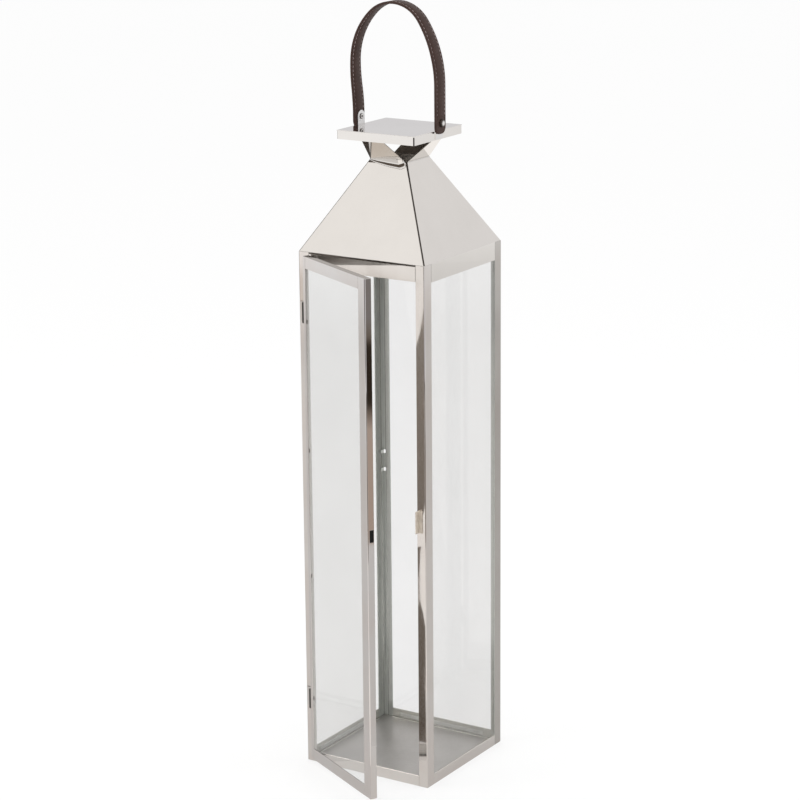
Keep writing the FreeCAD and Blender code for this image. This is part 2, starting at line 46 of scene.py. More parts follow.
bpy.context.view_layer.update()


def rounded(values, digits=4):
    """Numbers short enough to print."""
    return [round(v, digits) for v in values]


# %% [markdown]
# ## The camera
# The photograph was fitted with a plain pinhole camera: how far it stands, how high it looks from,
# and how much it rolls. The same three turns are rebuilt here as a rotation matrix, because a track
# constraint could not hold the half degree of roll.

# %% Stand the camera where the photograph was taken
BODY_WIDTH = 0.18
CAMERA_AZIMUTH = math.radians(32.458)
CAMERA_ELEVATION = math.radians(14.890)
CAMERA_ROLL = math.radians(-0.5167)
CAMERA_AIM = Vector((0.0, 0.0, 2.0)) * BODY_WIDTH
CAMERA_OFFSET = Vector((-0.0189, 0.571, 18.468)) * BODY_WIDTH
FOCAL_PIXELS = 2653.7
FRAME_PIXELS = 800
SENSOR_WIDTH = 36.0


def camera_axes():
    """The camera's right, up and back directions."""
    level = math.cos(CAMERA_ELEVATION)
    back = Vector((math.sin(CAMERA_AZIMUTH) * level, -math.cos(CAMERA_AZIMUTH) * level,
                   math.sin(CAMERA_ELEVATION)))
    right = Vector((math.cos(CAMERA_AZIMUTH), math.sin(CAMERA_AZIMUTH), 0.0))
    up = back.cross(right)
    turn, lean = math.cos(CAMERA_ROLL), math.sin(CAMERA_ROLL)
    return right * turn + up * lean, up * turn - right * lean, back


axes = Matrix(camera_axes())
camera_data = bpy.data.cameras.new("photo_camera")
camera_data.sensor_width = SENSOR_WIDTH
camera_data.lens = FOCAL_PIXELS * SENSOR_WIDTH / FRAME_PIXELS
camera = bpy.data.objects.new("photo_camera", camera_data)
scene.collection.objects.link(camera)
camera_place = CAMERA_AIM + axes.transposed() @ CAMERA_OFFSET
camera.matrix_world = Matrix.Translation(camera_place) @ axes.transposed().to_4x4()
scene.camera = camera
print("camera at", rounded(camera_place, 3), "lens", round(camera_data.lens, 1))

# %% [markdown]
# ## Small helpers for shader nodes
# A material is a graph, and most lines that build one say the same three things: which node, which
# settings, what feeds it. A few short helpers keep the materials below readable. Effects that several
# finishes share become node groups with named sockets, so that each finish sets its own values.

# %% Helpers that place nodes and open groups
NUMBER, COLOUR = "NodeSocketFloat", "NodeSocketColor"


def put(tree, kind, feeds=None, **settings):
    """Add a node, set its properties, and feed its inputs with values or other nodes' sockets."""
    node = tree.nodes.new(kind)
    for name, value in settings.items():
        setattr(node, name, value)
    for name, value in (feeds or {}).items():
        if isinstance(value, bpy.types.NodeSocket):
            tree.links.new(value, node.inputs[name])
        else:
            node.inputs[name].default_value = value
    return node


def open_group(name, inputs, outputs):
    """Start a shader node group with named sockets; returns its tree and its two end nodes."""
    tree = bpy.data.node_groups.new(name, "ShaderNodeTree")
    for label, kind, value in inputs:
        socket = tree.interface.new_socket(label, in_out="INPUT", socket_type=kind)
        socket.default_value = value
    for label, kind in outputs:
        tree.interface.new_socket(label, in_out="OUTPUT", socket_type=kind)
    return tree, tree.nodes.new("NodeGroupInput"), tree.nodes.new("NodeGroupOutput")


def place_group(tree, group, **values):
    """Put a node group into a material; keyword names are its inputs with underscores for spaces."""
    node = tree.nodes.new("ShaderNodeGroup")
    node.node_tree = group
    for name, value in values.items():
        node.inputs[name.replace("_", " ")].default_value = value
    return node


def new_finish(name):
    """A material with a fresh Principled shader; returns the material, its tree and the shader."""
    material = bpy.data.materials.new(name)
    material.use_nodes = True
    return material, material.node_tree, material.node_tree.nodes["Principled BSDF"]


print("helpers for nodes, groups and materials are ready")

# %% [markdown]
# ## Small helpers for arithmetic
# Masks and tones come from a few steps of arithmetic on places, directions and noise. Each step is a
# node of its own; these helpers give the steps short names, so that a line reads like a formula.

# %% Helpers that reckon
def spread(tree, value, low, high, start=0.0, finish=1.0):
    """Map a value from the range start to finish onto low to high."""
    feeds = {"Value": value, "From Min": start, "From Max": finish, "To Min": low, "To Max": high}
    return put(tree, "ShaderNodeMapRange", feeds).outputs["Result"]


def mix_colours(tree, share, first, second):
    """Blend two colours by a share; the colour sockets of a Mix node have the numbers 6 and 7."""
    return put(tree, "ShaderNodeMix", {0: share, 6: first, 7: second}, data_type="RGBA").outputs[2]


def mix_shaders(tree, share, first, second):
    """Let a material show a blend of two shaders."""
    both = put(tree, "ShaderNodeMixShader", {0: share, 1: first.outputs[0], 2: second.outputs[0]})
    tree.links.new(both.outputs[0], tree.nodes["Material Output"].inputs["Surface"])


def reckon(tree, operation, first, second=0.0):
    """One step of arithmetic on numbers."""
    return put(tree, "ShaderNodeMath", {0: first, 1: second}, operation=operation).outputs[0]


def reckon_vectors(tree, operation, first, second):
    """One step of arithmetic on vectors; its outputs are Vector and Value."""
    return put(tree, "ShaderNodeVectorMath", {0: first, 1: second}, operation=operation).outputs


def place_on(tree):
    """Where a point lies on its object, in metres."""
    return put(tree, "ShaderNodeTexCoord").outputs["Object"]


def part_of(tree, vector, axis):
    """One of a vector's three numbers."""
    return put(tree, "ShaderNodeSeparateXYZ", {"Vector": vector}).outputs[axis]


def grey(value):
    """A colour without hue."""
    return (value, value, value, 1.0)


print("helpers for arithmetic are ready")

# %% [markdown]
# ## Shared effect: the waves of thin sheet
# Polished sheet is never quite flat. Long shallow waves, less than a millimetre deep, make the mirror
# images wander along a post. A noise drawn out along the height gives those waves; each finish feeds
# them to its own Bump node, so the depth stays a plain number there.

# %% Sheet waves
def drawn_out(tree, stretch):
    """Places on the object with their heights divided by stretch, which draws a texture out upwards."""
    split = put(tree, "ShaderNodeSeparateXYZ", {"Vector": place_on(tree)}).outputs
    tall = reckon(tree, "DIVIDE", split["Z"], stretch)
    return put(tree, "ShaderNodeCombineXYZ", {"X": split["X"], "Y": split["Y"], "Z": tall}).outputs[0]


sheet_waves, given, result = open_group(
    "sheet_waves", [("Waves per metre", NUMBER, 9.0), ("Stretch", NUMBER, 2.0)], [("Height", NUMBER)])
noise = put(sheet_waves, "ShaderNodeTexNoise",
            {"Vector": drawn_out(sheet_waves, given.outputs["Stretch"]),
             "Scale": given.outputs["Waves per metre"], "Detail": 1.0, "Roughness": 0.35})
sheet_waves.links.new(noise.outputs["Fac"], result.inputs["Height"])
print("group:", sheet_waves.name)

# %% [markdown]
# ## Shared effect: a cloudy film
# Wiped metal and glass keep a faint film. Two colours mixed by a soft noise show it in the colour,
# and the same mask lifts the roughness where the film is thick.

# %% Cloudy film
FILM_STARTS, FILM_FULL = 0.35, 0.7
cloudy_film, given, result = open_group(
    "cloudy_film",
    [("Clean", COLOUR, grey(0.8)), ("Filmed", COLOUR, grey(0.7)), ("Patches per metre", NUMBER, 14.0)],
    [("Colour", COLOUR), ("Mask", NUMBER)])
noise = put(cloudy_film, "ShaderNodeTexNoise",
            {"Vector": place_on(cloudy_film), "Scale": given.outputs["Patches per metre"],
             "Detail": 5.0, "Roughness": 0.6})
mask = spread(cloudy_film, noise.outputs["Fac"], 0.0, 1.0, FILM_STARTS, FILM_FULL)
tone = mix_colours(cloudy_film, mask, given.outputs["Clean"], given.outputs["Filmed"])
cloudy_film.links.new(tone, result.inputs["Colour"])
cloudy_film.links.new(mask, result.inputs["Mask"])
print("group:", cloudy_film.name)

# %% [markdown]
# ## Shared effect: drawn lines
# Sheet that was rolled and then polished keeps hair-fine lines along one direction. A noise squeezed
# hard across and drawn out along the height reads as such lines; they vary the roughness a little.

# %% Drawn lines
LINES_START, LINES_FULL = 0.3, 0.7
drawn_lines, given, result = open_group(
    "drawn_lines", [("Lines per metre", NUMBER, 900.0), ("Length ratio", NUMBER, 60.0)],
    [("Mask", NUMBER)])
noise = put(drawn_lines, "ShaderNodeTexNoise",
            {"Vector": drawn_out(drawn_lines, given.outputs["Length ratio"]),
             "Scale": given.outputs["Lines per metre"], "Detail": 3.0})
mask = spread(drawn_lines, noise.outputs["Fac"], 0.0, 1.0, LINES_START, LINES_FULL)
drawn_lines.links.new(mask, result.inputs["Mask"])
print("group:", drawn_lines.name)

# %% [markdown]
# ## Shared effect: the side that looks inwards
# Only the outer side of the sheet is polished; the side that looks into the lantern is dull. A face
# looks inwards when its normal points back at the upright axis, which is a dot product of place and
# normal. Faces that look down count too, because the underside of the cap is as dull.

# %% Inner side
LEVEL = (1.0, 1.0, 0.0)
LOOKS_IN, LOOKS_DOWN = -0.01, -0.9
inner_side, _, result = open_group("inner_side", [], [("Mask", NUMBER)])
about = put(inner_side, "ShaderNodeTexCoord").outputs
flat = reckon_vectors(inner_side, "MULTIPLY", about["Object"], LEVEL)["Vector"]
facing = reckon_vectors(inner_side, "DOT_PRODUCT", flat, about["Normal"])["Value"]
inward = reckon(inner_side, "LESS_THAN", facing, LOOKS_IN)
downward = reckon(inner_side, "LESS_THAN", part_of(inner_side, about["Normal"], "Z"), LOOKS_DOWN)
inner_side.links.new(reckon(inner_side, "MAXIMUM", inward, downward), result.inputs["Mask"])
print("group:", inner_side.name)

# %% [markdown]
# ## Polished sheet
# The body, the roof and the door are bent from mirror-polished sheet. One function makes all their
# finishes; they differ in tone, in how much the sheet waves, in the dull side that looks inwards, and
# in a painted shade on faces that look up. A painted reflection would stay put when the camera moves,
# so the mirror comes from a full metal with a low roughness, and the studio does most of the painting;
# the rest is painted into the tones.

# %% How polished sheet is made
MIRROR_ROUGH = (0.035, 0.11)
INSIDE_ROUGH, INSIDE_METAL = 0.22, 0.4
LOOKS_UP = 0.9


def polished_sheet(name, clean, filmed, inside, wave_depth, upward=None):
    """Mirror-polished steel with a faint film, a dull inside and long waves wave_depth deep."""
    material, tree, shader = new_finish(name)
    film = place_group(tree, cloudy_film, Clean=clean, Filmed=filmed, Patches_per_metre=16.0)
    lines = place_group(tree, drawn_lines, Lines_per_metre=700.0, Length_ratio=40.0)
    waves = place_group(tree, sheet_waves, Waves_per_metre=9.0, Stretch=2.0)
    inner = place_group(tree, inner_side).outputs["Mask"]
    dull = reckon(tree, "MULTIPLY", film.outputs["Mask"], lines.outputs["Mask"])
    rough = reckon(tree, "MAXIMUM", spread(tree, dull, *MIRROR_ROUGH),
                   spread(tree, inner, 0.0, INSIDE_ROUGH))
    tone = mix_colours(tree, inner, film.outputs["Colour"], inside)
    # Faces that look up take a painted shade.
    if upward:
        normal = put(tree, "ShaderNodeTexCoord").outputs["Normal"]
        shaded_top = reckon(tree, "GREATER_THAN", part_of(tree, normal, "Z"), LOOKS_UP)
        tone = mix_colours(tree, shaded_top, tone, upward)
    bump = put(tree, "ShaderNodeBump",
               {"Strength": 1.0, "Distance": wave_depth, "Height": waves.outputs["Height"]})
    tree.links.new(tone, shader.inputs["Base Color"])
    tree.links.new(rough, shader.inputs["Roughness"])
    tree.links.new(spread(tree, inner, 1.0, INSIDE_METAL), shader.inputs["Metallic"])
    tree.links.new(bump.outputs["Normal"], shader.inputs["Normal"])
    return material


print("mirror roughness:", MIRROR_ROUGH, "inside:", INSIDE_ROUGH)

# %% [markdown]
# ## The eight sheet finishes
# On the real lantern all this is one metal. Its tone still changes from piece to piece with the film
# on it and with the light and reflections that fall on it, and these are painted into a clean and a
# filmed tone for each kind of piece, as painted light and shade: darkest on the back posts, lightest
# on the cap. The inside has tones of its own, and faces that look up get a painted shade.

# %% Polished sheet finishes
SOOT, MOSS = (0.26, 0.23, 0.20, 1), (0.78, 0.80, 0.76, 1)
OLIVE, PEWTER = (0.78, 0.77, 0.71, 1), (0.80, 0.78, 0.75, 1)
# Painted shade for faces that look up, on the back posts and the door.
TOP_SHADE = (0.30, 0.285, 0.28, 1)
# Lit and shaded copies of one metal: these tones are painted light and shade, darkest on the back posts.
ROOF_TONES = (0.84, 0.81, 0.775, 1), (0.81, 0.78, 0.745, 1)
CAP_TONES = (0.87, 0.84, 0.81, 1), (0.83, 0.80, 0.77, 1)
POST_TONES = (0.83, 0.80, 0.775, 1), (0.79, 0.735, 0.70, 1)
BACK_SHADED_TONES = (0.62, 0.60, 0.575, 1), (0.58, 0.545, 0.515, 1)
DOOR_TONES = (0.76, 0.74, 0.73, 1), (0.74, 0.695, 0.67, 1)
EAR_TONES = (0.82, 0.81, 0.80, 1), (0.78, 0.77, 0.76, 1)
RAIL_TONES = (0.84, 0.81, 0.785, 1), (0.80, 0.755, 0.725, 1)
roof_sheet = polished_sheet("roof_sheet", *ROOF_TONES, SOOT, wave_depth=0.0004)
cap_sheet = polished_sheet("cap_sheet", *CAP_TONES, SOOT, wave_depth=0.0001)
roll_sheet = polished_sheet("roll_sheet", *ROOF_TONES, SOOT, wave_depth=0.0)
post_sheet = polished_sheet("post_sheet", *POST_TONES, MOSS, wave_depth=0.0008)
back_shaded_sheet = polished_sheet("back_shaded_sheet", *BACK_SHADED_TONES, MOSS, wave_depth=0.0008, upward=TOP_SHADE)
door_sheet = polished_sheet("door_sheet", *DOOR_TONES, PEWTER, wave_depth=0.0005, upward=TOP_SHADE)
ear_sheet = polished_sheet("ear_sheet", *EAR_TONES, grey(0.80), wave_depth=0.0001)
rail_sheet = polished_sheet("rail_sheet", *RAIL_TONES, OLIVE, wave_depth=0.0006)
print("sheet finishes:", [name for name in bpy.data.materials.keys() if name.endswith("_sheet")])

# %% [markdown]
# ## The floor plate
# The bottom of the lantern is a plate that is only satin: it shows a blurred image of the rails. The
# drawn lines at a length ratio of one are fine specks; they drive a roughness well above that of the
# polished sheet, and the film clouds the colour.

# %% Satin floor plate
SATIN_ROUGH = (0.30, 0.45)
floor_satin, tree, shader = new_finish("floor_satin")
film = place_group(tree, cloudy_film, Clean=(0.52, 0.505, 0.49, 1), Filmed=(0.46, 0.445, 0.43, 1),
                   Patches_per_metre=22.0)
lines = place_group(tree, drawn_lines, Lines_per_metre=420.0, Length_ratio=1.0)
tree.links.new(film.outputs["Colour"], shader.inputs["Base Color"])
tree.links.new(spread(tree, lines.outputs["Mask"], *SATIN_ROUGH), shader.inputs["Roughness"])
shader.inputs["Metallic"].default_value = 0.8
print("finish:", floor_satin.name)

# %% [markdown]
# ## Clear glass
# The panes are plain float glass, two millimetres thick. Looking through two of them, white turns to a
# pale grey, so the glass itself is given that slight tint. The tint differs from pane to pane as painted
# light and shade: darker on the back pane and lighter on the right one. Cut edges show the green of the
# glass: the upward and downward faces are edges in every pose of the door, so the height of the normal
# finds them. Shadow rays pass straight through, because a soft studio would hardly darken behind glass.

# %% Float glass
GLASS_EDGE = (0.34, 0.50, 0.44, 1)
GLASS_SHADE = (0.93, 0.935, 0.93, 1)
SMEAR_ROUGH = 0.012


def clear_pane(name, clean, filmed):
    """Float glass: a clear shader with a faint wiped film, green where a cut edge looks up or down."""
    material, tree, shader = new_finish(name)
    film = place_group(tree, cloudy_film, Clean=clean, Filmed=filmed, Patches_per_metre=7.0)
    normal = put(tree, "ShaderNodeNewGeometry").outputs["True Normal"]
    on_edge = reckon(tree, "ABSOLUTE", part_of(tree, normal, "Z"))
    tint = mix_colours(tree, on_edge, film.outputs["Colour"], GLASS_EDGE)
    tree.links.new(tint, shader.inputs["Base Color"])
    tree.links.new(spread(tree, film.outputs["Mask"], 0.0, SMEAR_ROUGH), shader.inputs["Roughness"])
    shader.inputs["Transmission Weight"].default_value = 1.0
    shader.inputs["IOR"].default_value = 1.5
    shadow = put(tree, "ShaderNodeLightPath").outputs["Is Shadow Ray"]
    mix_shaders(tree, shadow, shader, put(tree, "ShaderNodeBsdfTransparent", {"Color": GLASS_SHADE}))
    return material


# The tints differ as painted light and shade: darker on the back pane, lighter on the right one.
pane_glass = clear_pane("pane_glass", (0.935, 0.935, 0.932, 1), (0.905, 0.906, 0.902, 1))
back_shaded_glass = clear_pane("back_shaded_glass", (0.875, 0.872, 0.874, 1), (0.845, 0.843, 0.843, 1))
right_lit_glass = clear_pane("right_lit_glass", (0.985, 0.985, 0.98, 1), (0.96, 0.96, 0.955, 1))
print("panes:", [m.name for m in (pane_glass, back_shaded_glass, right_lit_glass)])

# %% [markdown]
# ## Sealant, strike and magnet
# White sealant smeared along the panes' feet, the dull nickel strike of the catch and its black ferrite
# magnet are too small to show more than two tones. Each could have a graph of its own, but one function
# with the shared film is enough; the roughness follows the film.

# %% Finishes of small parts
def small_part(name, clean, filmed, metallic, rough, patches):
    """A finish of one film: two tones, and a roughness that follows them."""
    material, tree, shader = new_finish(name)
    film = place_group(tree, cloudy_film, Clean=clean, Filmed=filmed, Patches_per_metre=patches)
    tree.links.new(film.outputs["Colour"], shader.inputs["Base Color"])
    tree.links.new(spread(tree, film.outputs["Mask"], *rough), shader.inputs["Roughness"])
    shader.inputs["Metallic"].default_value = metallic
    return material


milky_sealant = small_part("milky_sealant", (0.97, 0.98, 0.95, 1), (0.74, 0.75, 0.71, 1),
                           metallic=0.0, rough=(0.25, 0.5), patches=90.0)
dull_nickel = small_part("dull_nickel", (0.78, 0.71, 0.62, 1), (0.62, 0.55, 0.47, 1),
                         metallic=0.4, rough=(0.3, 0.5), patches=200.0)
black_ferrite = small_part("black_ferrite", (0.008, 0.008, 0.008, 1), (0.014, 0.013, 0.012, 1),
                           metallic=0.0, rough=(0.5, 0.7), patches=160.0)
black_ferrite.node_tree.nodes["Principled BSDF"].inputs["Specular IOR Level"].default_value = 0.1
print("small finishes:", [m.name for m in (milky_sealant, dull_nickel, black_ferrite)])

# %% [markdown]
# ## Rivets
# The nickel of the rivets carries painted light and shade: a painted highlight on the crown of the dome,
# a painted reflection of dark surroundings round its foot, and painted shade in the bore of the rolled
# tail and along the tail's rim. All three are rings about the rivet axis, so one distance from that
# axis places them.

# %% Rivet finish
RIVET_HEIGHT = 0.8173
DOME_CROWN, DOME_FOOT = 0.0017, 0.0040
TAIL_BORE, TAIL_RIM, TAIL_REACH = 0.0015, 0.0028, 0.0562
RIVET_ROUGH = (0.08, 0.45)
# Dark tone of painted reflection at the dome's foot and of painted shade in the tail.
RIVET_PAINTED_DARK = (0.07, 0.056, 0.048, 1)
SIDEWAYS = (0.0, 1.0, 1.0)


def away_from_axis(tree, where, across, axis):
    """Distance of a place from an axis through the point axis; across keeps the directions that count."""
    beside = reckon_vectors(tree, "MULTIPLY", where, across)["Vector"]
    return reckon_vectors(tree, "DISTANCE", beside, axis)["Value"]


rivet_nickel, tree, shader = new_finish("rivet_nickel")
film = place_group(tree, cloudy_film, Clean=(0.88, 0.86, 0.84, 1), Filmed=(0.82, 0.80, 0.78, 1),
                   Patches_per_metre=200.0)
where = place_on(tree)
apart = away_from_axis(tree, where, SIDEWAYS, (0.0, 0.0, RIVET_HEIGHT))
on_tail = reckon(tree, "LESS_THAN", reckon(tree, "ABSOLUTE", part_of(tree, where, "X")), TAIL_REACH)
# Painted shade in the bore and along the rim of the rolled tail.
tail_shade = reckon(tree, "MAXIMUM", reckon(tree, "LESS_THAN", apart, TAIL_BORE),
                   reckon(tree, "GREATER_THAN", apart, TAIL_RIM))
on_dome = reckon(tree, "SUBTRACT", 1.0, on_tail)
# A painted highlight on the crown fading to a painted reflection at the foot.
dome_reflection = spread(tree, apart, 0.0, 1.0, DOME_CROWN, DOME_FOOT)
dark = reckon(tree, "MAXIMUM", reckon(tree, "MULTIPLY", on_tail, tail_shade),
              reckon(tree, "MULTIPLY", on_dome, dome_reflection))
tree.links.new(mix_colours(tree, dark, film.outputs["Colour"], RIVET_PAINTED_DARK), shader.inputs["Base Color"])
tree.links.new(spread(tree, dark, *RIVET_ROUGH), shader.inputs["Roughness"])
shader.inputs["Metallic"].default_value = 1.0
print("finish:", rivet_nickel.name)

# %% [markdown]
# ## Hinges
# The leaves are about as bright as the sheet they sit on, and only the knuckles and pins are dark. The
# distance from the hinge axis tells them apart, so one finish covers all the hinge parts.

# %% Hinge finish
HINGE_AXIS = (-0.0785, -0.0978, 0.0)
KNUCKLE_REACH = 0.0023
HINGE_ROUGH = (0.1, 0.38)
KNUCKLE_DARK = (0.09, 0.085, 0.075, 1)
hinge_steel, tree, shader = new_finish("hinge_steel")
film = place_group(tree, cloudy_film, Clean=(0.76, 0.735, 0.715, 1), Filmed=(0.70, 0.67, 0.65, 1),
                   Patches_per_metre=160.0)
apart = away_from_axis(tree, place_on(tree), LEVEL, HINGE_AXIS)
knuckle = reckon(tree, "LESS_THAN", apart, KNUCKLE_REACH)
tone = mix_colours(tree, knuckle, film.outputs["Colour"], KNUCKLE_DARK)
tree.links.new(tone, shader.inputs["Base Color"])
tree.links.new(spread(tree, knuckle, *HINGE_ROUGH), shader.inputs["Roughness"])
shader.inputs["Metallic"].default_value = 1.0
print("finish:", hinge_steel.name)

# %% [markdown]
# ## Hand the finishes to the solids
# A solid keeps its own mesh: its material slot changes, and modifiers refine only what is rendered. The
# start of a node's name says what it is, so one list covers every solid that stays; the first start
# that fits counts. Sheet never ends in a knife edge, so a Weld joins its corners and a Bevel rounds
# them. The sealant shrinks by a hair, because its faces lie in the planes of the panes, and two faces
# in one plane render dark.

# %% Which finish goes where
FINISHES = [
    ("roof_panel", roof_sheet), ("cap_tray", cap_sheet), ("handle_ear", ear_sheet),
    ("post_back", back_shaded_sheet), ("post_", post_sheet),
    ("lintel", rail_sheet), ("sill", rail_sheet), ("bottom_rail", rail_sheet),
    ("door_glass", pane_glass), ("door_", door_sheet),
    ("glass_back", back_shaded_glass), ("glass_right", right_lit_glass), ("glass_", pane_glass),
    ("floor_plate", floor_satin), ("sealant", milky_sealant), ("handle_rivet", rivet_nickel),
    ("catch_strike", dull_nickel), ("catch_magnet", black_ferrite),
    ("lower_hinge", hinge_steel), ("upper_hinge", hinge_steel),
]


def finish_of(node_name):
    """The finish of a node, or None for the two plies that are sewn anew below."""
    return next((finish for start, finish in FINISHES if node_name.startswith(start)), None)


print("solids with a finish:", sum(1 for name in nodes if finish_of(name)), "of", len(nodes))

# %% Dress every solid
BENT_SHEET = (roof_sheet, cap_sheet, post_sheet, back_shaded_sheet, door_sheet, rail_sheet)
WELD_REACH = 0.000001
EDGE_WIDTH, EDGE_SEGMENTS, EDGE_ANGLE = 0.0004, 2, math.radians(40)
SEALANT_GAP = 0.0001


def join_corners(solid):
    """Join the corners that neighbouring faces share."""
    weld = solid.modifiers.new("join_corners", "WELD")
    weld.merge_threshold = WELD_REACH


def round_edges(solid):
    """Round the sheet's sharp edges."""
    rounding = solid.modifiers.new("edge_round", "BEVEL")
    rounding.width = EDGE_WIDTH
    rounding.segments = EDGE_SEGMENTS
    rounding.limit_method = "ANGLE"
    rounding.angle_limit = EDGE_ANGLE
    rounding.harden_normals = True


def shrink_from_pane(solid):
    """Draw the faces in, clear of the pane's."""
    shrink = solid.modifiers.new("clear_of_pane", "DISPLACE")
    shrink.strength = -SEALANT_GAP
    shrink.mid_level = 0.0


for node_name, solid in nodes.items():
    finish = finish_of(node_name)
    if finish:
        solid.data.materials.clear()
        solid.data.materials.append(finish)
    if finish in BENT_SHEET:
        join_corners(solid)
        round_edges(solid)
    elif finish is milky_sealant:
        join_corners(solid)
        shrink_from_pane(solid)
print("sheets with rounded edges:", sum(1 for name in nodes if finish_of(name) in BENT_SHEET))

# %% [markdown]
# ## The strap's line
# The handle is one long strap: straight up from each rivet, a slight sway on the left, two shoulders
# and a crown. It could be a freely drawn curve, but the solids it stands for are bent in arcs, so each
# stretch is an arc with a centre, a radius and two angles, and a point is found by its distance. Only
# the left leg is bent a little more than the solids are, as the photograph shows it.

# %% Straight runs and arcs
def line(start, finish, outward):
    """A straight run: its length, and what gives the place and outward direction at a share of it."""
    return (finish - start).length, lambda share: (start.lerp(finish, share), outward)


def arc(centre, radius, start, finish, facing=1):
    """An arc from one angle to another, in the same form as a straight run."""
    def at(share):
        angle = start + (finish - start) * share
        spoke = Vector((math.cos(angle), math.sin(angle)))
        return centre + spoke * radius, spoke * facing
    return abs(finish - start) * radius, at


half_circle, _ = arc(Vector((0.0, 0.0)), 1.0, 0.0, math.pi)
print("half a circle of radius one measures", round(half_circle, 4))

# %% Lay the strap's line
LEG = 0.05805
TAIL = 0.0128
LEFT_STRAIGHT, LEFT_SHOULDER, RIGHT_SHOULDER = 0.004, 0.0667, 0.0447
LEFT_BULGE = 0.0044
ARCH_RISE, ARCH_LEAN, CROWN_RADIUS = 0.1411, 0.0038, 0.046


def shoulder(half_width, rise):
    """Radius of the arc that leaves an upright leg and runs smoothly into the crown."""
    return (half_width**2 + rise**2 - 2 * rise * CROWN_RADIUS) / (2 * (half_width - CROWN_RADIUS))


def strap_stretches():
    """Straight runs and arcs from the left end to the right, as (length, place at a share) pairs."""
    left = LEG + LEFT_BULGE
    crown = Vector((-ARCH_LEAN, ARCH_RISE - CROWN_RADIUS))
    left_radius = shoulder(left - ARCH_LEAN, ARCH_RISE - LEFT_SHOULDER)
    right_radius = shoulder(LEG + ARCH_LEAN, ARCH_RISE - RIGHT_SHOULDER)
    left_centre = Vector((left_radius - left, LEFT_SHOULDER))
    right_centre = Vector((LEG - right_radius, RIGHT_SHOULDER))
    sway = LEFT_SHOULDER - LEFT_STRAIGHT
    sway_radius = (sway**2 + LEFT_BULGE**2) / (4 * LEFT_BULGE)
    sway_turn = math.asin(sway / (2 * sway_radius))
    to_left, to_right = crown - left_centre, crown - right_centre
    crown_left, crown_right = math.atan2(to_left.y, to_left.x), math.atan2(to_right.y, to_right.x)
    return [
        line(Vector((-LEG, -TAIL)), Vector((-LEG, LEFT_STRAIGHT)), Vector((-1, 0))),
        arc(Vector((-LEG - sway_radius, LEFT_STRAIGHT)), sway_radius, 0, sway_turn, -1),
        arc(Vector((sway_radius - left, LEFT_SHOULDER)), sway_radius, math.pi + sway_turn, math.pi),
        arc(left_centre, left_radius, math.pi, crown_left),
        arc(crown, CROWN_RADIUS, crown_left, crown_right),
        arc(right_centre, right_radius, crown_right, 0),
        line(Vector((LEG, RIGHT_SHOULDER)), Vector((LEG, -TAIL)), Vector((1, 0))),
    ]


STRETCHES = strap_stretches()
STRAP_LENGTH = sum(length for length, _ in STRETCHES)
print("strap length:", round(STRAP_LENGTH, 4))

# %% Find a place on the strap
def strap_at(distance):
    """Place and outward direction of the strap's middle line, distance from its left end."""
    for length, at in STRETCHES:
        if distance <= length or at is STRETCHES[-1][1]:
            point, outward = at(min(distance / length, 1.0))
            return Vector((point.x, 0.0, RIVET_HEIGHT + point.y)), Vector((outward.x, 0.0, outward.y))
        distance -= length


print("halfway along the strap:", rounded(strap_at(STRAP_LENGTH / 2)[0]))

# %% [markdown]
# ## The strap's section
# Two plies are sewn back to back. Their cross-section is drawn once, as a ring of points: a face with
# a shallow groove for each row of thread, rounded burnished edges, and a fine line where the plies
# meet. It could be the bevel of a curve, but that scales the whole section at once, and this strap
# narrows at its round ends without getting thinner, so the ring is worked out anew at each distance.

# %% Width along the strap
HALF_WIDTH, END_RADIUS = 0.010, 0.008
FRONT_EXTRA = 0.0024
LEFT_FADE, RIGHT_FADE = (0.035, 0.085), (0.09, 0.16)


def from_end(distance):
    """How far a place on the strap lies from its nearer end."""
    return min(distance, STRAP_LENGTH - distance)


def within_one(share):
    """A share kept between none and all."""
    return min(1.0, max(0.0, share))


def half_width_at(distance):
    """The strap narrows over its last stretch, where its corners are rounded."""
    left_over = from_end(distance)
    if left_over >= END_RADIUS:
        return HALF_WIDTH
    return HALF_WIDTH - END_RADIUS + math.sqrt(END_RADIUS**2 - (END_RADIUS - left_over)**2)


def front_extra(distance):
    """The legs spread a little towards the front, and the spread fades out on the way to the crown."""
    near, far = LEFT_FADE if distance < STRAP_LENGTH / 2 else RIGHT_FADE
    return FRONT_EXTRA * within_one((far - from_end(distance)) / (far - near))


print("half width at an end:", half_width_at(0.0), "and in the middle:", half_width_at(STRAP_LENGTH / 2))

# %% Ring of points
HALF_THICK, EDGE_ROUND = 0.00155, 0.0009
THREAD_INSET, LEAST_ROW = 0.0027, 0.3
GROOVE_WIDTH, GROOVE_DEPTH = 0.0007, 0.0009
GROOVE_START, GROOVE_FADE = 0.014, 0.006
SEAM_DEPTH, SEAM_WIDTH = 0.00022, 0.00018


def half_ring(width, groove):
    """Points of one half of the section, from the outer face's middle round the edge: (across, out)."""
    thread = max(width - THREAD_INSET, width * LEAST_ROW)
    corner = EDGE_ROUND * (1 - math.sqrt(0.5))
    face = [(0.0, HALF_THICK), (thread - GROOVE_WIDTH, HALF_THICK), (thread, HALF_THICK - groove),
            (min(thread + GROOVE_WIDTH, width - EDGE_ROUND), HALF_THICK),
            (width - EDGE_ROUND, HALF_THICK), (width - corner, HALF_THICK - corner),
            (width, HALF_THICK - EDGE_ROUND), (width, SEAM_WIDTH)]
    return face + [(width - SEAM_DEPTH, 0.0)] + [(across, -out) for across, out in reversed(face)]


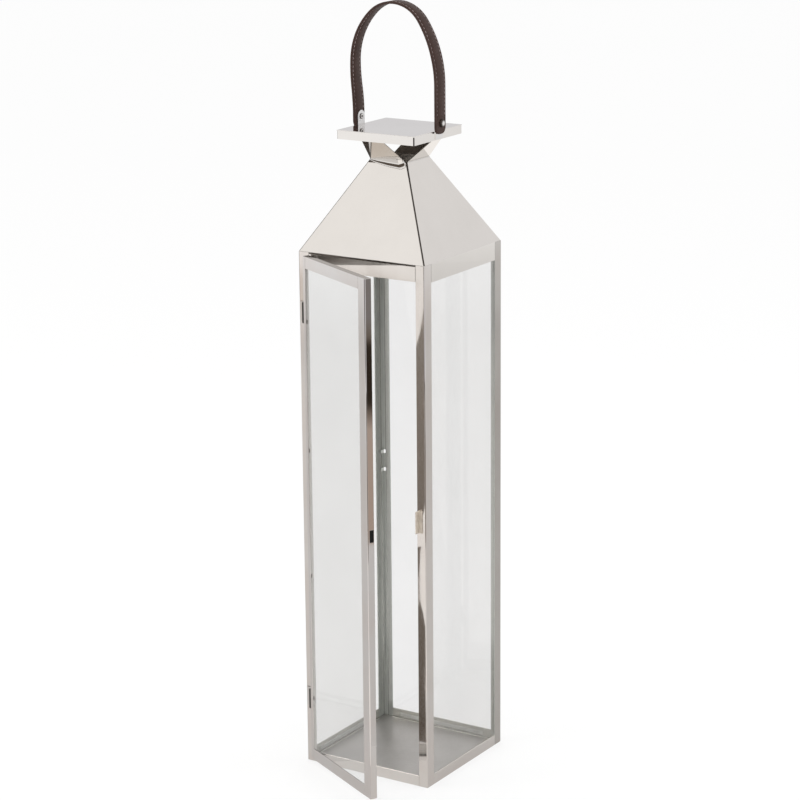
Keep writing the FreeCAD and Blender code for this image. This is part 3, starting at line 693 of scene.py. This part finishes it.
def ring_at(distance):
    """All points of the section at a distance, in order round the strap."""
    width = half_width_at(distance)
    grooved = within_one((from_end(distance) - GROOVE_START) / GROOVE_FADE)
    half = half_ring(width, GROOVE_DEPTH * grooved)
    forward = 1.0 + front_extra(distance) / width
    around = half + [(-across * forward, out) for across, out in reversed(half[1:-1])]
    middle, outward = strap_at(distance)
    return [middle + outward * out + Vector((0.0, across, 0.0)) for across, out in around]


print("points in a section:", len(ring_at(STRAP_LENGTH / 2)))

# %% [markdown]
# ## The leather
# The section is carried along the strap's line and neighbouring rings are joined by quads. The rings
# stand close together at the ends, where the outline is round, and evenly in between.

# %% Sweep the strap
END_STEPS = [0.0, 0.0002, 0.0006, 0.0012, 0.002, 0.003, 0.0042, 0.0056, 0.008]
STEP = 0.002


def tube_faces(rings, ring_size):
    """Quads between neighbouring rings, and a face at each end."""
    faces = [tuple(range(ring_size))[::-1]]
    for row in range(rings - 1):
        for i in range(ring_size):
            j = (i + 1) % ring_size
            low, high = row * ring_size, (row + 1) * ring_size
            faces.append((low + i, low + j, high + j, high + i))
    faces.append(tuple((rings - 1) * ring_size + i for i in range(ring_size)))
    return faces


count = int((STRAP_LENGTH - 2 * END_RADIUS) / STEP)
inner_steps = [END_RADIUS + (STRAP_LENGTH - 2 * END_RADIUS) * i / count for i in range(1, count)]
stations = END_STEPS + inner_steps + [STRAP_LENGTH - d for d in reversed(END_STEPS)]
rings = [ring_at(d) for d in stations]
ring_size = len(rings[0])
strap_mesh = bpy.data.meshes.new("leather_strap")
strap_mesh.from_pydata([p for ring in rings for p in ring], [], tube_faces(len(rings), ring_size))
strap_mesh.update()
leather_strap = bpy.data.objects.new("leather_strap", strap_mesh)
scene.collection.objects.link(leather_strap)
print("strap:", len(strap_mesh.vertices), "points in", len(rings), "rings of", ring_size)

# %% [markdown]
# ## Holes for the rivets
# Each leg turns on a rivet, so the leather needs a round hole there. A Boolean with a cylinder cuts
# both at once; its result is applied, because a piece that rides on a body is a plain mesh.

# %% Punch the holes
HOLE_RADIUS = 0.0021
bpy.ops.mesh.primitive_cylinder_add(vertices=32, radius=HOLE_RADIUS, depth=4 * LEG,
                                    location=(0, 0, RIVET_HEIGHT), rotation=(0, math.pi / 2, 0))
punch = bpy.context.object
cut = leather_strap.modifiers.new("rivet_holes", "BOOLEAN")
cut.object = punch
cut.solver = "EXACT"
depsgraph = bpy.context.evaluated_depsgraph_get()
cut_mesh = bpy.data.meshes.new_from_object(leather_strap.evaluated_get(depsgraph))
leather_strap.modifiers.clear()
leather_strap.data = cut_mesh
bpy.data.objects.remove(punch)
cut_mesh.polygons.foreach_set("use_smooth", [True] * len(cut_mesh.polygons))
print("strap with holes:", len(cut_mesh.polygons), "faces")

# %% [markdown]
# ## The thread
# Each stitch is a short bent rod that dives into the leather at both ends. Both faces of both edges
# carry a row, sunk in its groove, so that the strap can turn past the steel tabs without catching.
# One mesh holds all the stitches: they never move apart from the strap.

# %% Sew the rows
PITCH = 0.005
STITCH_HALF = 0.0019
THREAD_RADIUS = 0.00044
THREAD_SUNK = 0.00005
THREAD_SIDES = 8
ROW_START = 0.022
ROD = [(-1.0, 0.35, -0.0004), (-0.8, 0.8, -0.00012), (-0.4, 1.0, 0.0), (0.0, 1.0, 0.00003),
       (0.4, 1.0, 0.0), (0.8, 0.8, -0.00012), (1.0, 0.35, -0.0004)]


def stitch_rings(middle, face, across):
    """Rings of one stitch: middle is its distance along the strap, face is +1 outside or -1 inside."""
    made = []
    row = across - front_extra(middle) if across < 0 else across
    for along, thick, lift in ROD:
        point, outward = strap_at(middle + along * STITCH_HALF)
        height = HALF_THICK - THREAD_RADIUS - THREAD_SUNK + lift
        centre = point + outward * face * height + Vector((0.0, row, 0.0))
        for i in range(THREAD_SIDES):
            turn = math.tau * i / THREAD_SIDES
            side = outward * math.cos(turn) + Vector((0.0, math.sin(turn), 0.0))
            made.append(centre + side * THREAD_RADIUS * thick)
    return made


row_count = int((STRAP_LENGTH - 2 * ROW_START) / PITCH) + 1
first = (STRAP_LENGTH - (row_count - 1) * PITCH) / 2
points, faces = [], []
rod_faces = tube_faces(len(ROD), THREAD_SIDES)
for face in (1, -1):
    for across in (HALF_WIDTH - THREAD_INSET, THREAD_INSET - HALF_WIDTH):
        for k in range(row_count):
            base = len(points)
            points += stitch_rings(first + k * PITCH, face, across)
            faces += [tuple(base + i for i in quad) for quad in rod_faces]
thread_mesh = bpy.data.meshes.new("strap_thread")
thread_mesh.from_pydata(points, [], faces)
thread_mesh.polygons.foreach_set("use_smooth", [True] * len(thread_mesh.polygons))
strap_thread = bpy.data.objects.new("strap_thread", thread_mesh)
scene.collection.objects.link(strap_thread)
print("stitches:", 4 * row_count)

# %% [markdown]
# ## The grain of the hide
# Full-grain leather has a fine pebble. It could be modelled, but a pebble is under a millimetre wide,
# so a texture of cells draws it as a height, and a noise bends the cells so that no two are alike.

# %% Hide grain
BEND_SHIFT = (0.0006, 0.0006, 0.0006)
PEBBLE_SHOULDER = 0.25
hide_grain, given, result = open_group(
    "hide_grain", [("Pebbles per metre", NUMBER, 1400.0)], [("Height", NUMBER), ("Creases", NUMBER)])
where = place_on(hide_grain)
bend = put(hide_grain, "ShaderNodeTexNoise", {"Vector": where, "Scale": 600.0, "Detail": 2.0})
shift = reckon_vectors(hide_grain, "MULTIPLY", bend.outputs["Color"], BEND_SHIFT)["Vector"]
moved = reckon_vectors(hide_grain, "ADD", where, shift)["Vector"]
cells = put(hide_grain, "ShaderNodeTexVoronoi",
            {"Vector": moved, "Scale": given.outputs["Pebbles per metre"]}, feature="DISTANCE_TO_EDGE")
height = spread(hide_grain, cells.outputs["Distance"], 0.0, 1.0, 0.0, PEBBLE_SHOULDER)
hide_grain.links.new(height, result.inputs["Height"])
hide_grain.links.new(reckon(hide_grain, "SUBTRACT", 1.0, height), result.inputs["Creases"])
print("group:", hide_grain.name)

# %% [markdown]
# ## Leather
# The leather is dark brown. Its colour shifts in soft clouds and sinks in the creases of the grain,
# and the worn ridges between the creases shine a little more.

# %% Leather finish
CREASE_BROWN, CREASE_SHARE = (0.026, 0.015, 0.012, 1), 0.55
LEATHER_ROUGH = (0.42, 0.62)
brown_leather, tree, shader = new_finish("brown_leather")
film = place_group(tree, cloudy_film, Clean=(0.052, 0.0255, 0.0195, 1), Filmed=(0.074, 0.040, 0.032, 1),
                   Patches_per_metre=60.0)
grain = place_group(tree, hide_grain, Pebbles_per_metre=1300.0).outputs
creased = spread(tree, grain["Creases"], 0.0, CREASE_SHARE)
tone = mix_colours(tree, creased, film.outputs["Colour"], CREASE_BROWN)
bump = put(tree, "ShaderNodeBump", {"Strength": 0.6, "Distance": 0.00012, "Height": grain["Height"]})
tree.links.new(tone, shader.inputs["Base Color"])
tree.links.new(spread(tree, grain["Creases"], *LEATHER_ROUGH), shader.inputs["Roughness"])
tree.links.new(bump.outputs["Normal"], shader.inputs["Normal"])
shader.inputs["Specular IOR Level"].default_value = 0.25
leather_strap.data.materials.clear()
leather_strap.data.materials.append(brown_leather)
print("finish:", brown_leather.name)

# %% [markdown]
# ## Thread
# The thread is a pale waxed twist. Strands could be modelled, but they are a fraction of a millimetre
# thick, so a wave texture across the stitches stands for their lay.

# %% Thread finish
waxed_thread, tree, shader = new_finish("waxed_thread")
film = place_group(tree, cloudy_film, Clean=(0.60, 0.49, 0.48, 1), Filmed=(0.46, 0.37, 0.36, 1),
                   Patches_per_metre=500.0)
lay = put(tree, "ShaderNodeTexWave", {"Vector": place_on(tree), "Scale": 700.0, "Distortion": 1.0},
          bands_direction="DIAGONAL")
bump = put(tree, "ShaderNodeBump", {"Strength": 0.5, "Distance": 0.0001, "Height": lay.outputs["Fac"]})
tree.links.new(film.outputs["Colour"], shader.inputs["Base Color"])
tree.links.new(bump.outputs["Normal"], shader.inputs["Normal"])
shader.inputs["Roughness"].default_value = 0.6
strap_thread.data.materials.append(waxed_thread)
print("finish:", waxed_thread.name)

# %% [markdown]
# ## The strap on its rivets
# Strap and stitches swing with the handle, so both ride on that body. The sewn strap stands for the
# two plain plies among the solids, which are hidden.

# %% Hang the strap
for piece in (leather_strap, strap_thread):
    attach(piece, "handle")
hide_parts("strap_outer_ply", "strap_inner_ply")
print("leather and thread ride on the handle")

# %% [markdown]
# ## Seams of the roof
# Where two roof panels meet along a hip, and where the cap's rim is open at a corner, the photograph
# shows a dark line: the shadow between two cut edges. Another runs along the cap's upper edges, the
# shadow in the crease of their rounding. Thin dark strips paint these shadows in from every side: they
# are painted shade, drawn here and not among the solids.

# %% Strips across corners and along edges
RIM_INSET = 0.0014
SEAM_RECESS, SEAM_THICK = 0.00015, 0.0004
CREASE_FALL, CREASE_PROUD = 0.00018, 0.00002
CREASE_LOW, CREASE_HIGH = (0.05493, 0.80758), (0.05458, 0.80793)


def corner_strip(low, high, sign_x, sign_y, inset):
    """Strip across a corner: low and high are (half width, height); the corner is cut back by inset."""
    inward = Vector((-sign_x, -sign_y, 0.0)).normalized()
    corners = []
    for half, height in (low, high):
        first = Vector((sign_x * (half - inset), sign_y * half, height)) + inward * SEAM_RECESS
        second = Vector((sign_x * half, sign_y * (half - inset), height)) + inward * SEAM_RECESS
        back = inward * SEAM_THICK
        corners += [first, second, second + back, first + back]
    return corners, tube_faces(2, 4)


def edge_strip(quarter):
    """A hair-fine strip of painted shade along one upper edge of the cap, lying on the rounding."""
    turn = Matrix.Rotation(quarter * math.pi / 2, 3, "Z")
    lift = Vector((0.0, -CREASE_PROUD, CREASE_PROUD))
    around = [(*CREASE_LOW, 0.0), (*CREASE_HIGH, 0.0),
              (*CREASE_HIGH, -CREASE_FALL), (*CREASE_LOW, -CREASE_FALL)]
    corners = []
    for end in (-1, 1):
        for out, height, depth in around:
            at = Vector((end * (out - RIM_INSET), -out - depth, height + depth))
            corners.append(turn @ (at + lift))
    return corners, tube_faces(2, 4)


print("a crease has", len(edge_strip(0)[0]), "corners")

# %% Hip and rim seams
EAVE, NECK_Z, HALF, NECK = 0.662, 0.771, 0.090, 0.0265
PANEL_INSET = 0.00166
CAP_HALF, RIM_LOW, RIM_HIGH = 0.055, 0.797, 0.8072


def join_meshes(name, parts, finish):
    """One object from several lists of corners and faces."""
    points, faces = [], []
    for corners, part_faces in parts:
        base = len(points)
        points += corners
        faces += [tuple(base + i for i in face) for face in part_faces]
    mesh = bpy.data.meshes.new(name)
    mesh.from_pydata(points, [], faces)
    mesh.materials.append(finish)
    piece = bpy.data.objects.new(name, mesh)
    scene.collection.objects.link(piece)
    return piece


CORNERS = [(x, y) for x in (-1, 1) for y in (-1, 1)]
# The strips' finish is painted shade: the shadow in the seams and along the cap's edges.
seam_shade = small_part("seam_shade", (0.055, 0.045, 0.038, 1), (0.035, 0.028, 0.024, 1),
                       metallic=0.3, rough=(0.45, 0.65), patches=120.0)
hips = [corner_strip((HALF, EAVE), (NECK, NECK_Z), x, y, PANEL_INSET) for x, y in CORNERS]
rims = [corner_strip((CAP_HALF, RIM_LOW), (CAP_HALF, RIM_HIGH), x, y, RIM_INSET) for x, y in CORNERS]
creases = [edge_strip(quarter) for quarter in range(4)]
seam_shade_strips = join_meshes("seam_shade_strips", hips + rims + creases, seam_shade)
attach(seam_shade_strips, "lantern")
print("seam strips:", len(hips) + len(rims) + len(creases))

# %% [markdown]
# ## The soft bend at the neck
# Each panel turns outwards at the neck in a rolled bend. Three of them are tight; the front one is
# looser and widens towards the right, so its bright band ends in a sagging dark line. A wedge with a
# hollow face fills each crease. A plain Bevel has one width all along; this wedge has a radius that
# changes from end to end, and its ends follow the panel's own edges, wider down the slope and narrower
# up the vent flap.

# %% Section of a roll
FLAP_RUN, FLAP_RISE, FLAP_TIP = 0.0275, 0.027, 0.010
ROLL_STEPS = 16


def panel_half(height):
    """Half the width of a roof panel at a height."""
    at_neck = NECK - PANEL_INSET
    if height < NECK_Z:
        return at_neck + (NECK_Z - height) * (HALF - NECK) / (NECK_Z - EAVE)
    return at_neck + (height - NECK_Z) / FLAP_RISE * (FLAP_TIP - at_neck)


def roll_section(radius):
    """Outline of the wedge: out from the axis and up, from the slope round the hollow to the flap."""
    crease = Vector((NECK, NECK_Z))
    down = Vector((HALF - NECK, EAVE - NECK_Z)).normalized()
    up = Vector((FLAP_RUN, FLAP_RISE)).normalized()
    half_angle = down.angle(up) / 2
    reach = radius / math.tan(half_angle)
    centre = crease + (down + up).normalized() * radius / math.sin(half_angle)
    start, finish = crease + down * reach - centre, crease + up * reach - centre
    first, last = math.atan2(start.y, start.x), math.atan2(finish.y, finish.x)
    turn = (last - first + math.pi) % math.tau - math.pi
    angles = [first + turn * i / ROLL_STEPS for i in range(ROLL_STEPS + 1)]
    return [centre + Vector((math.cos(a), math.sin(a))) * radius for a in angles] + [crease]


print("half a panel's width at the neck:", round(panel_half(NECK_Z), 4))

# %% Neck rolls
TIGHT_ROLL = [(0.0, 0.0015), (1.0, 0.0015)]
FRONT_ROLL = [(0.0, 0.002), (0.25, 0.0065), (0.55, 0.0105), (0.85, 0.013), (0.94, 0.0105),
              (1.0, 0.007)]
ROLL_STATIONS = 33


def radius_at(stops, share):
    """Radius at a share of the panel's width, on straight lines between the stops."""
    for (low, first), (high, last) in zip(stops, stops[1:]):
        if share <= high:
            return first + (last - first) * (share - low) / (high - low)


rolls, smooth = [], []
for quarter, stops in enumerate((FRONT_ROLL, TIGHT_ROLL, TIGHT_ROLL, TIGHT_ROLL)):
    turn = Matrix.Rotation(quarter * math.pi / 2, 3, "Z")
    points = []
    for station in range(ROLL_STATIONS):
        share = station / (ROLL_STATIONS - 1)
        for p in roll_section(radius_at(stops, share)):
            points.append(turn @ Vector(((2 * share - 1) * panel_half(p.y), -p.x, p.y)))
    rolls.append((points, tube_faces(ROLL_STATIONS, ROLL_STEPS + 2)))
    smooth += [False] + ([True] * ROLL_STEPS + [False] * 2) * (ROLL_STATIONS - 1) + [False]
neck_rolls = join_meshes("neck_rolls", rolls, roll_sheet)
neck_rolls.data.polygons.foreach_set("use_smooth", smooth)
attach(neck_rolls, "lantern")
print("neck rolls:", len(rolls), "of", ROLL_STATIONS, "sections")

# %% [markdown]
# ## The floor
# The lantern stands on a floor that the camera sees as white; it keeps a share of its own shading, and
# with it the lantern's shadow. Rays that have met a mirror see the floor near the lantern in greys, a
# little darker behind on the right: between white floor and white sky polished steel turns flat and
# pale. The Light Path node tells the rays apart, so that one floor serves both.

# %% Tell the rays apart
MET_A_MIRROR = 0.5


def light_rays(tree):
    """Two masks: rays of camera, mirrors and glass; and rays that have met a mirror on their way."""
    light_path = put(tree, "ShaderNodeLightPath").outputs
    first = reckon(tree, "MAXIMUM", light_path["Is Camera Ray"], light_path["Is Glossy Ray"])
    seen = reckon(tree, "MAXIMUM", first, light_path["Is Transmission Ray"])
    met = reckon(tree, "GREATER_THAN", light_path["Glossy Depth"], MET_A_MIRROR)
    lit = reckon(tree, "SUBTRACT", 1.0, light_path["Is Shadow Ray"])
    return seen, reckon(tree, "MULTIPLY", met, lit)


print("a ray has met a mirror when its glossy depth is over", MET_A_MIRROR)

# %% Studio floor
FLOOR_SIZE, FLOOR_DROP = 30.0, 0.0003
FLOOR_GLOW = 0.72
WHITE = grey(1.0)
MIRROR_NEAR, MIRROR_FAR = 2.4, 3.4
NEAR_DARK, NEAR_PALE = (0.40, 0.385, 0.375, 1), (0.62, 0.60, 0.585, 1)
BEHIND_RIGHT = (0.53, 0.85, 0.0)
DIM_STARTS, DIM_FULL, DIMMEST = -0.5, 1.0, 0.84
bpy.ops.mesh.primitive_plane_add(size=FLOOR_SIZE, location=(0, 0, -FLOOR_DROP))
floor = bpy.context.object
floor.name = "studio_floor"
floor_paint, tree, shader = new_finish("floor_paint")
where = place_on(tree)
speck = put(tree, "ShaderNodeTexNoise", {"Vector": where, "Scale": 1.2, "Detail": 1.0}).outputs["Fac"]
tree.links.new(mix_colours(tree, speck, grey(0.97), grey(0.985)), shader.inputs["Base Color"])
shader.inputs["Roughness"].default_value = 0.9
away = put(tree, "ShaderNodeVectorMath", {0: where}, operation="LENGTH").outputs["Value"]
far_share = spread(tree, away, 0.0, 1.0, MIRROR_NEAR, MIRROR_FAR)
tone = mix_colours(tree, far_share, mix_colours(tree, speck, NEAR_DARK, NEAR_PALE), WHITE)
side = reckon_vectors(tree, "DOT_PRODUCT", where, BEHIND_RIGHT)["Value"]
dimmer = spread(tree, side, 1.0, DIMMEST, DIM_STARTS, DIM_FULL)
tone = put(tree, "ShaderNodeVectorMath", {0: tone, "Scale": dimmer}, operation="SCALE").outputs[0]
seen, met = light_rays(tree)
glow = put(tree, "ShaderNodeEmission", {"Color": mix_colours(tree, met, WHITE, tone), "Strength": 1.0})
mix_shaders(tree, spread(tree, seen, 0.0, FLOOR_GLOW), shader, glow)
floor.data.materials.append(floor_paint)
print("floor:", FLOOR_SIZE, "metres square")

# %% [markdown]
# ## The world
# The camera and the glass see a white world. Rays that have met a mirror see a sky that is grey low
# down and pale above, for the same reason as on the floor. A picture of a studio would do too, but a
# mix of two tones by the height of the ray is all that the steel needs.

# %% Studio world
SKY_LOW, SKY_HIGH, SKY_FULL = (0.60, 0.60, 0.625, 1), (0.95, 0.935, 0.92, 1), 0.6
WORLD_LIGHT, WORLD_SEEN = 0.95, 1.0
world = bpy.data.worlds.new("studio")
scene.world = world
world.use_nodes = True
tree = world.node_tree
background = tree.nodes["Background"]
seen, met = light_rays(tree)
ray_height = part_of(tree, put(tree, "ShaderNodeTexCoord").outputs["Generated"], "Z")
sky = mix_colours(tree, spread(tree, ray_height, 0.0, 1.0, 0.0, SKY_FULL), SKY_LOW, SKY_HIGH)
tree.links.new(mix_colours(tree, met, WHITE, sky), background.inputs["Color"])
tree.links.new(spread(tree, seen, WORLD_LIGHT, WORLD_SEEN), background.inputs["Strength"])
print("world:", world.name)

# %% [markdown]
# ## Lamps
# The world alone would leave the lantern without a shadow side. A warm lamp in front on the left and a
# weaker, cooler one behind on the right give it one. They are large, so their shadows are soft, and
# mirrors do not see them, because a bright square in the steel would look like a window.

# %% Two soft lamps
LAMP_AIM = Vector((0.0, 0.0, 0.5))


def soft_lamp(name, place, size, power, colour):
    """A square area lamp turned towards the lantern's middle."""
    data = bpy.data.lights.new(name, "AREA")
    data.shape = "SQUARE"
    data.size = size
    data.energy = power
    data.color = colour
    lamp = bpy.data.objects.new(name, data)
    scene.collection.objects.link(lamp)
    lamp.location = place
    lamp.rotation_euler = (LAMP_AIM - Vector(place)).to_track_quat("-Z", "Y").to_euler()
    lamp.visible_glossy = False


soft_lamp("key_lamp", (-1.5, -1.8, 2.1), size=1.2, power=22.0, colour=(1.0, 0.97, 0.93))
soft_lamp("fill_lamp", (1.8, 1.2, 1.6), size=1.4, power=10.0, colour=(0.96, 0.98, 1.0))

# %% [markdown]
# ## What the mirrors see
# Photographers stand dark cards and pale reflectors beside polished metal: the images of the dark cards
# draw its edges, and the reflectors lighten the faces that would look dull. These are seen by mirrors
# only. They cast no shadow, and the camera looks past them.

# %% How a card is made
def mirror_card(name, outline, tones):
    """A flat card with an outline of points, coloured by (height, colour) stops, for mirrors only."""
    mesh = bpy.data.meshes.new(name)
    mesh.from_pydata(outline, [], [tuple(range(len(outline)))])
    card = bpy.data.objects.new(name, mesh)
    scene.collection.objects.link(card)
    material, tree, _ = new_finish(name)
    height = part_of(tree, place_on(tree), "Z")
    tone = tones[0][1]
    for (low, _), (high, colour) in zip(tones, tones[1:]):
        tone = mix_colours(tree, spread(tree, height, 0.0, 1.0, low, high), tone, colour)
    glow = put(tree, "ShaderNodeEmission", {"Color": tone, "Strength": 1.0})
    _, met = light_rays(tree)
    mix_shaders(tree, met, put(tree, "ShaderNodeBsdfTransparent"), glow)
    mesh.materials.append(material)
    card.visible_diffuse = False
    card.visible_shadow = False


def upright(first, second, low, high):
    """Outline of an upright card between two floor points."""
    return [(*first, low), (*second, low), (*second, high), (*first, high)]


def lying(outline, height):
    """Outline of a card that lies flat at a height."""
    return [(x, y, height) for x, y in outline]


print("cards stand upright or lie flat")

# %% [markdown]
# ## Dark cards
# Two narrow cards in front of the lantern draw the dark streak in the right post, which wanders as the
# photograph shows it. The others stand further off: they give the front, the loose bend at the neck, the
# front vent flap and the door's free edge something darker than the sky to mirror.

# %% Cards for the mirrors
BROWN, UMBER, BLACK = (0.17, 0.14, 0.115, 1), (0.10, 0.08, 0.065, 1), (0.030, 0.021, 0.015, 1)
BEIGE, SLATE, TAUPE = (0.45, 0.36, 0.30, 1), (0.22, 0.20, 0.19, 1), (0.24, 0.21, 0.18, 1)
SAND = (0.70, 0.65, 0.60, 1)
CARD_TOP, VENT_CARD_HEIGHT = 0.5, 0.0008
HORIZON_LOW, HORIZON_HIGH = 0.45, 2.6
STREAK_Y, STREAK_X, STREAK_WIDTH = -0.214, -0.0004, 0.0132
STREAK_TONES = [(0.0, UMBER), (0.30, BROWN), (0.56, TAUPE)]
EDGE_TONES = [(0.0, BEIGE), (0.19, BEIGE), (0.23, BLACK), (0.325, BLACK), (0.34, BROWN), (0.37, SLATE)]
UPPER_STREAK = [(-0.3, 0.520), (0.0, 0.526), (0.25, 0.536), (0.5, 0.545), (0.75, 0.561), (1.05, 0.584),
                (1.05, 0.333), (0.78, 0.313), (0.70, 0.309), (-0.3, 0.309)]
LOWER_STREAK = [(-0.3, 0.264), (0.5, 0.267), (0.42, 0.258), (0.27, 0.220), (0.25, 0.195), (0.60, 0.178),
                (0.85, 0.160), (0.80, 0.060), (0.88, 0.0), (-0.3, 0.0), (-0.3, 0.171), (0.05, 0.190),
                (0.10, 0.225), (-0.3, 0.255)]
VENT_OUTLINE = [(-1.80, -2.56), (-1.46, -2.56), (-1.46, -2.20), (-1.80, -2.20)]
for name, streak in (("upper_streak_card", UPPER_STREAK), ("lower_streak_card", LOWER_STREAK)):
    outline = [(STREAK_X + STREAK_WIDTH * share, STREAK_Y, height) for share, height in streak]
    mirror_card(name, outline, STREAK_TONES)
front = upright((0.06, -1.01), (0.90, -0.48), 0.0, CARD_TOP)
horizon = upright((-5.0, -3.0), (0.5, -4.5), HORIZON_LOW, HORIZON_HIGH)
edge = upright((1.10, -0.26), (1.10, -0.02), 0.0, CARD_TOP)
mirror_card("front_card", front, [(0.0, BROWN), (CARD_TOP, UMBER)])
mirror_card("horizon_card", horizon, [(0.0, UMBER)])
mirror_card("vent_card", lying(VENT_OUTLINE, VENT_CARD_HEIGHT), [(0.0, SAND)])
mirror_card("edge_card", edge, EDGE_TONES)

# %% [markdown]
# ## Pale reflectors
# Three sheets lie on the floor: a grey one right in front of the door, a cream one that runs out from it
# to the front left, and one behind. They are no brighter than white.

# %% Reflectors for the mirrors
CREAM, PALE = (1.0, 0.975, 0.95, 1), (0.69, 0.675, 0.655, 1)
REFLECTOR_HEIGHT = 0.0004
NEAR_OUTLINE = [(-0.075, -0.0903), (0.25, -0.0903), (0.25, -0.22), (0.075, -0.22), (0.064, -0.176)]
FAR_OUTLINE = [(-0.159, -0.22), (0.25, -0.22), (-0.6, -3.5), (-2.45, -3.6)]
BACK_OUTLINE = [(-0.8, 0.8), (0.1, 0.8), (0.0, 2.0), (-1.2, 2.0)]
REFLECTORS = [("near_reflector", NEAR_OUTLINE, PALE), ("far_reflector", FAR_OUTLINE, CREAM),
              ("back_reflector", BACK_OUTLINE, CREAM)]
for name, outline, tone in REFLECTORS:
    mirror_card(name, lying(outline, REFLECTOR_HEIGHT), [(0.0, tone)])
print("reflectors:", len(REFLECTORS))

# %% [markdown]
# ## Settle the picture
# The Standard view keeps colours as they are written.

# %% Finish
scene.view_settings.view_transform = "Standard"
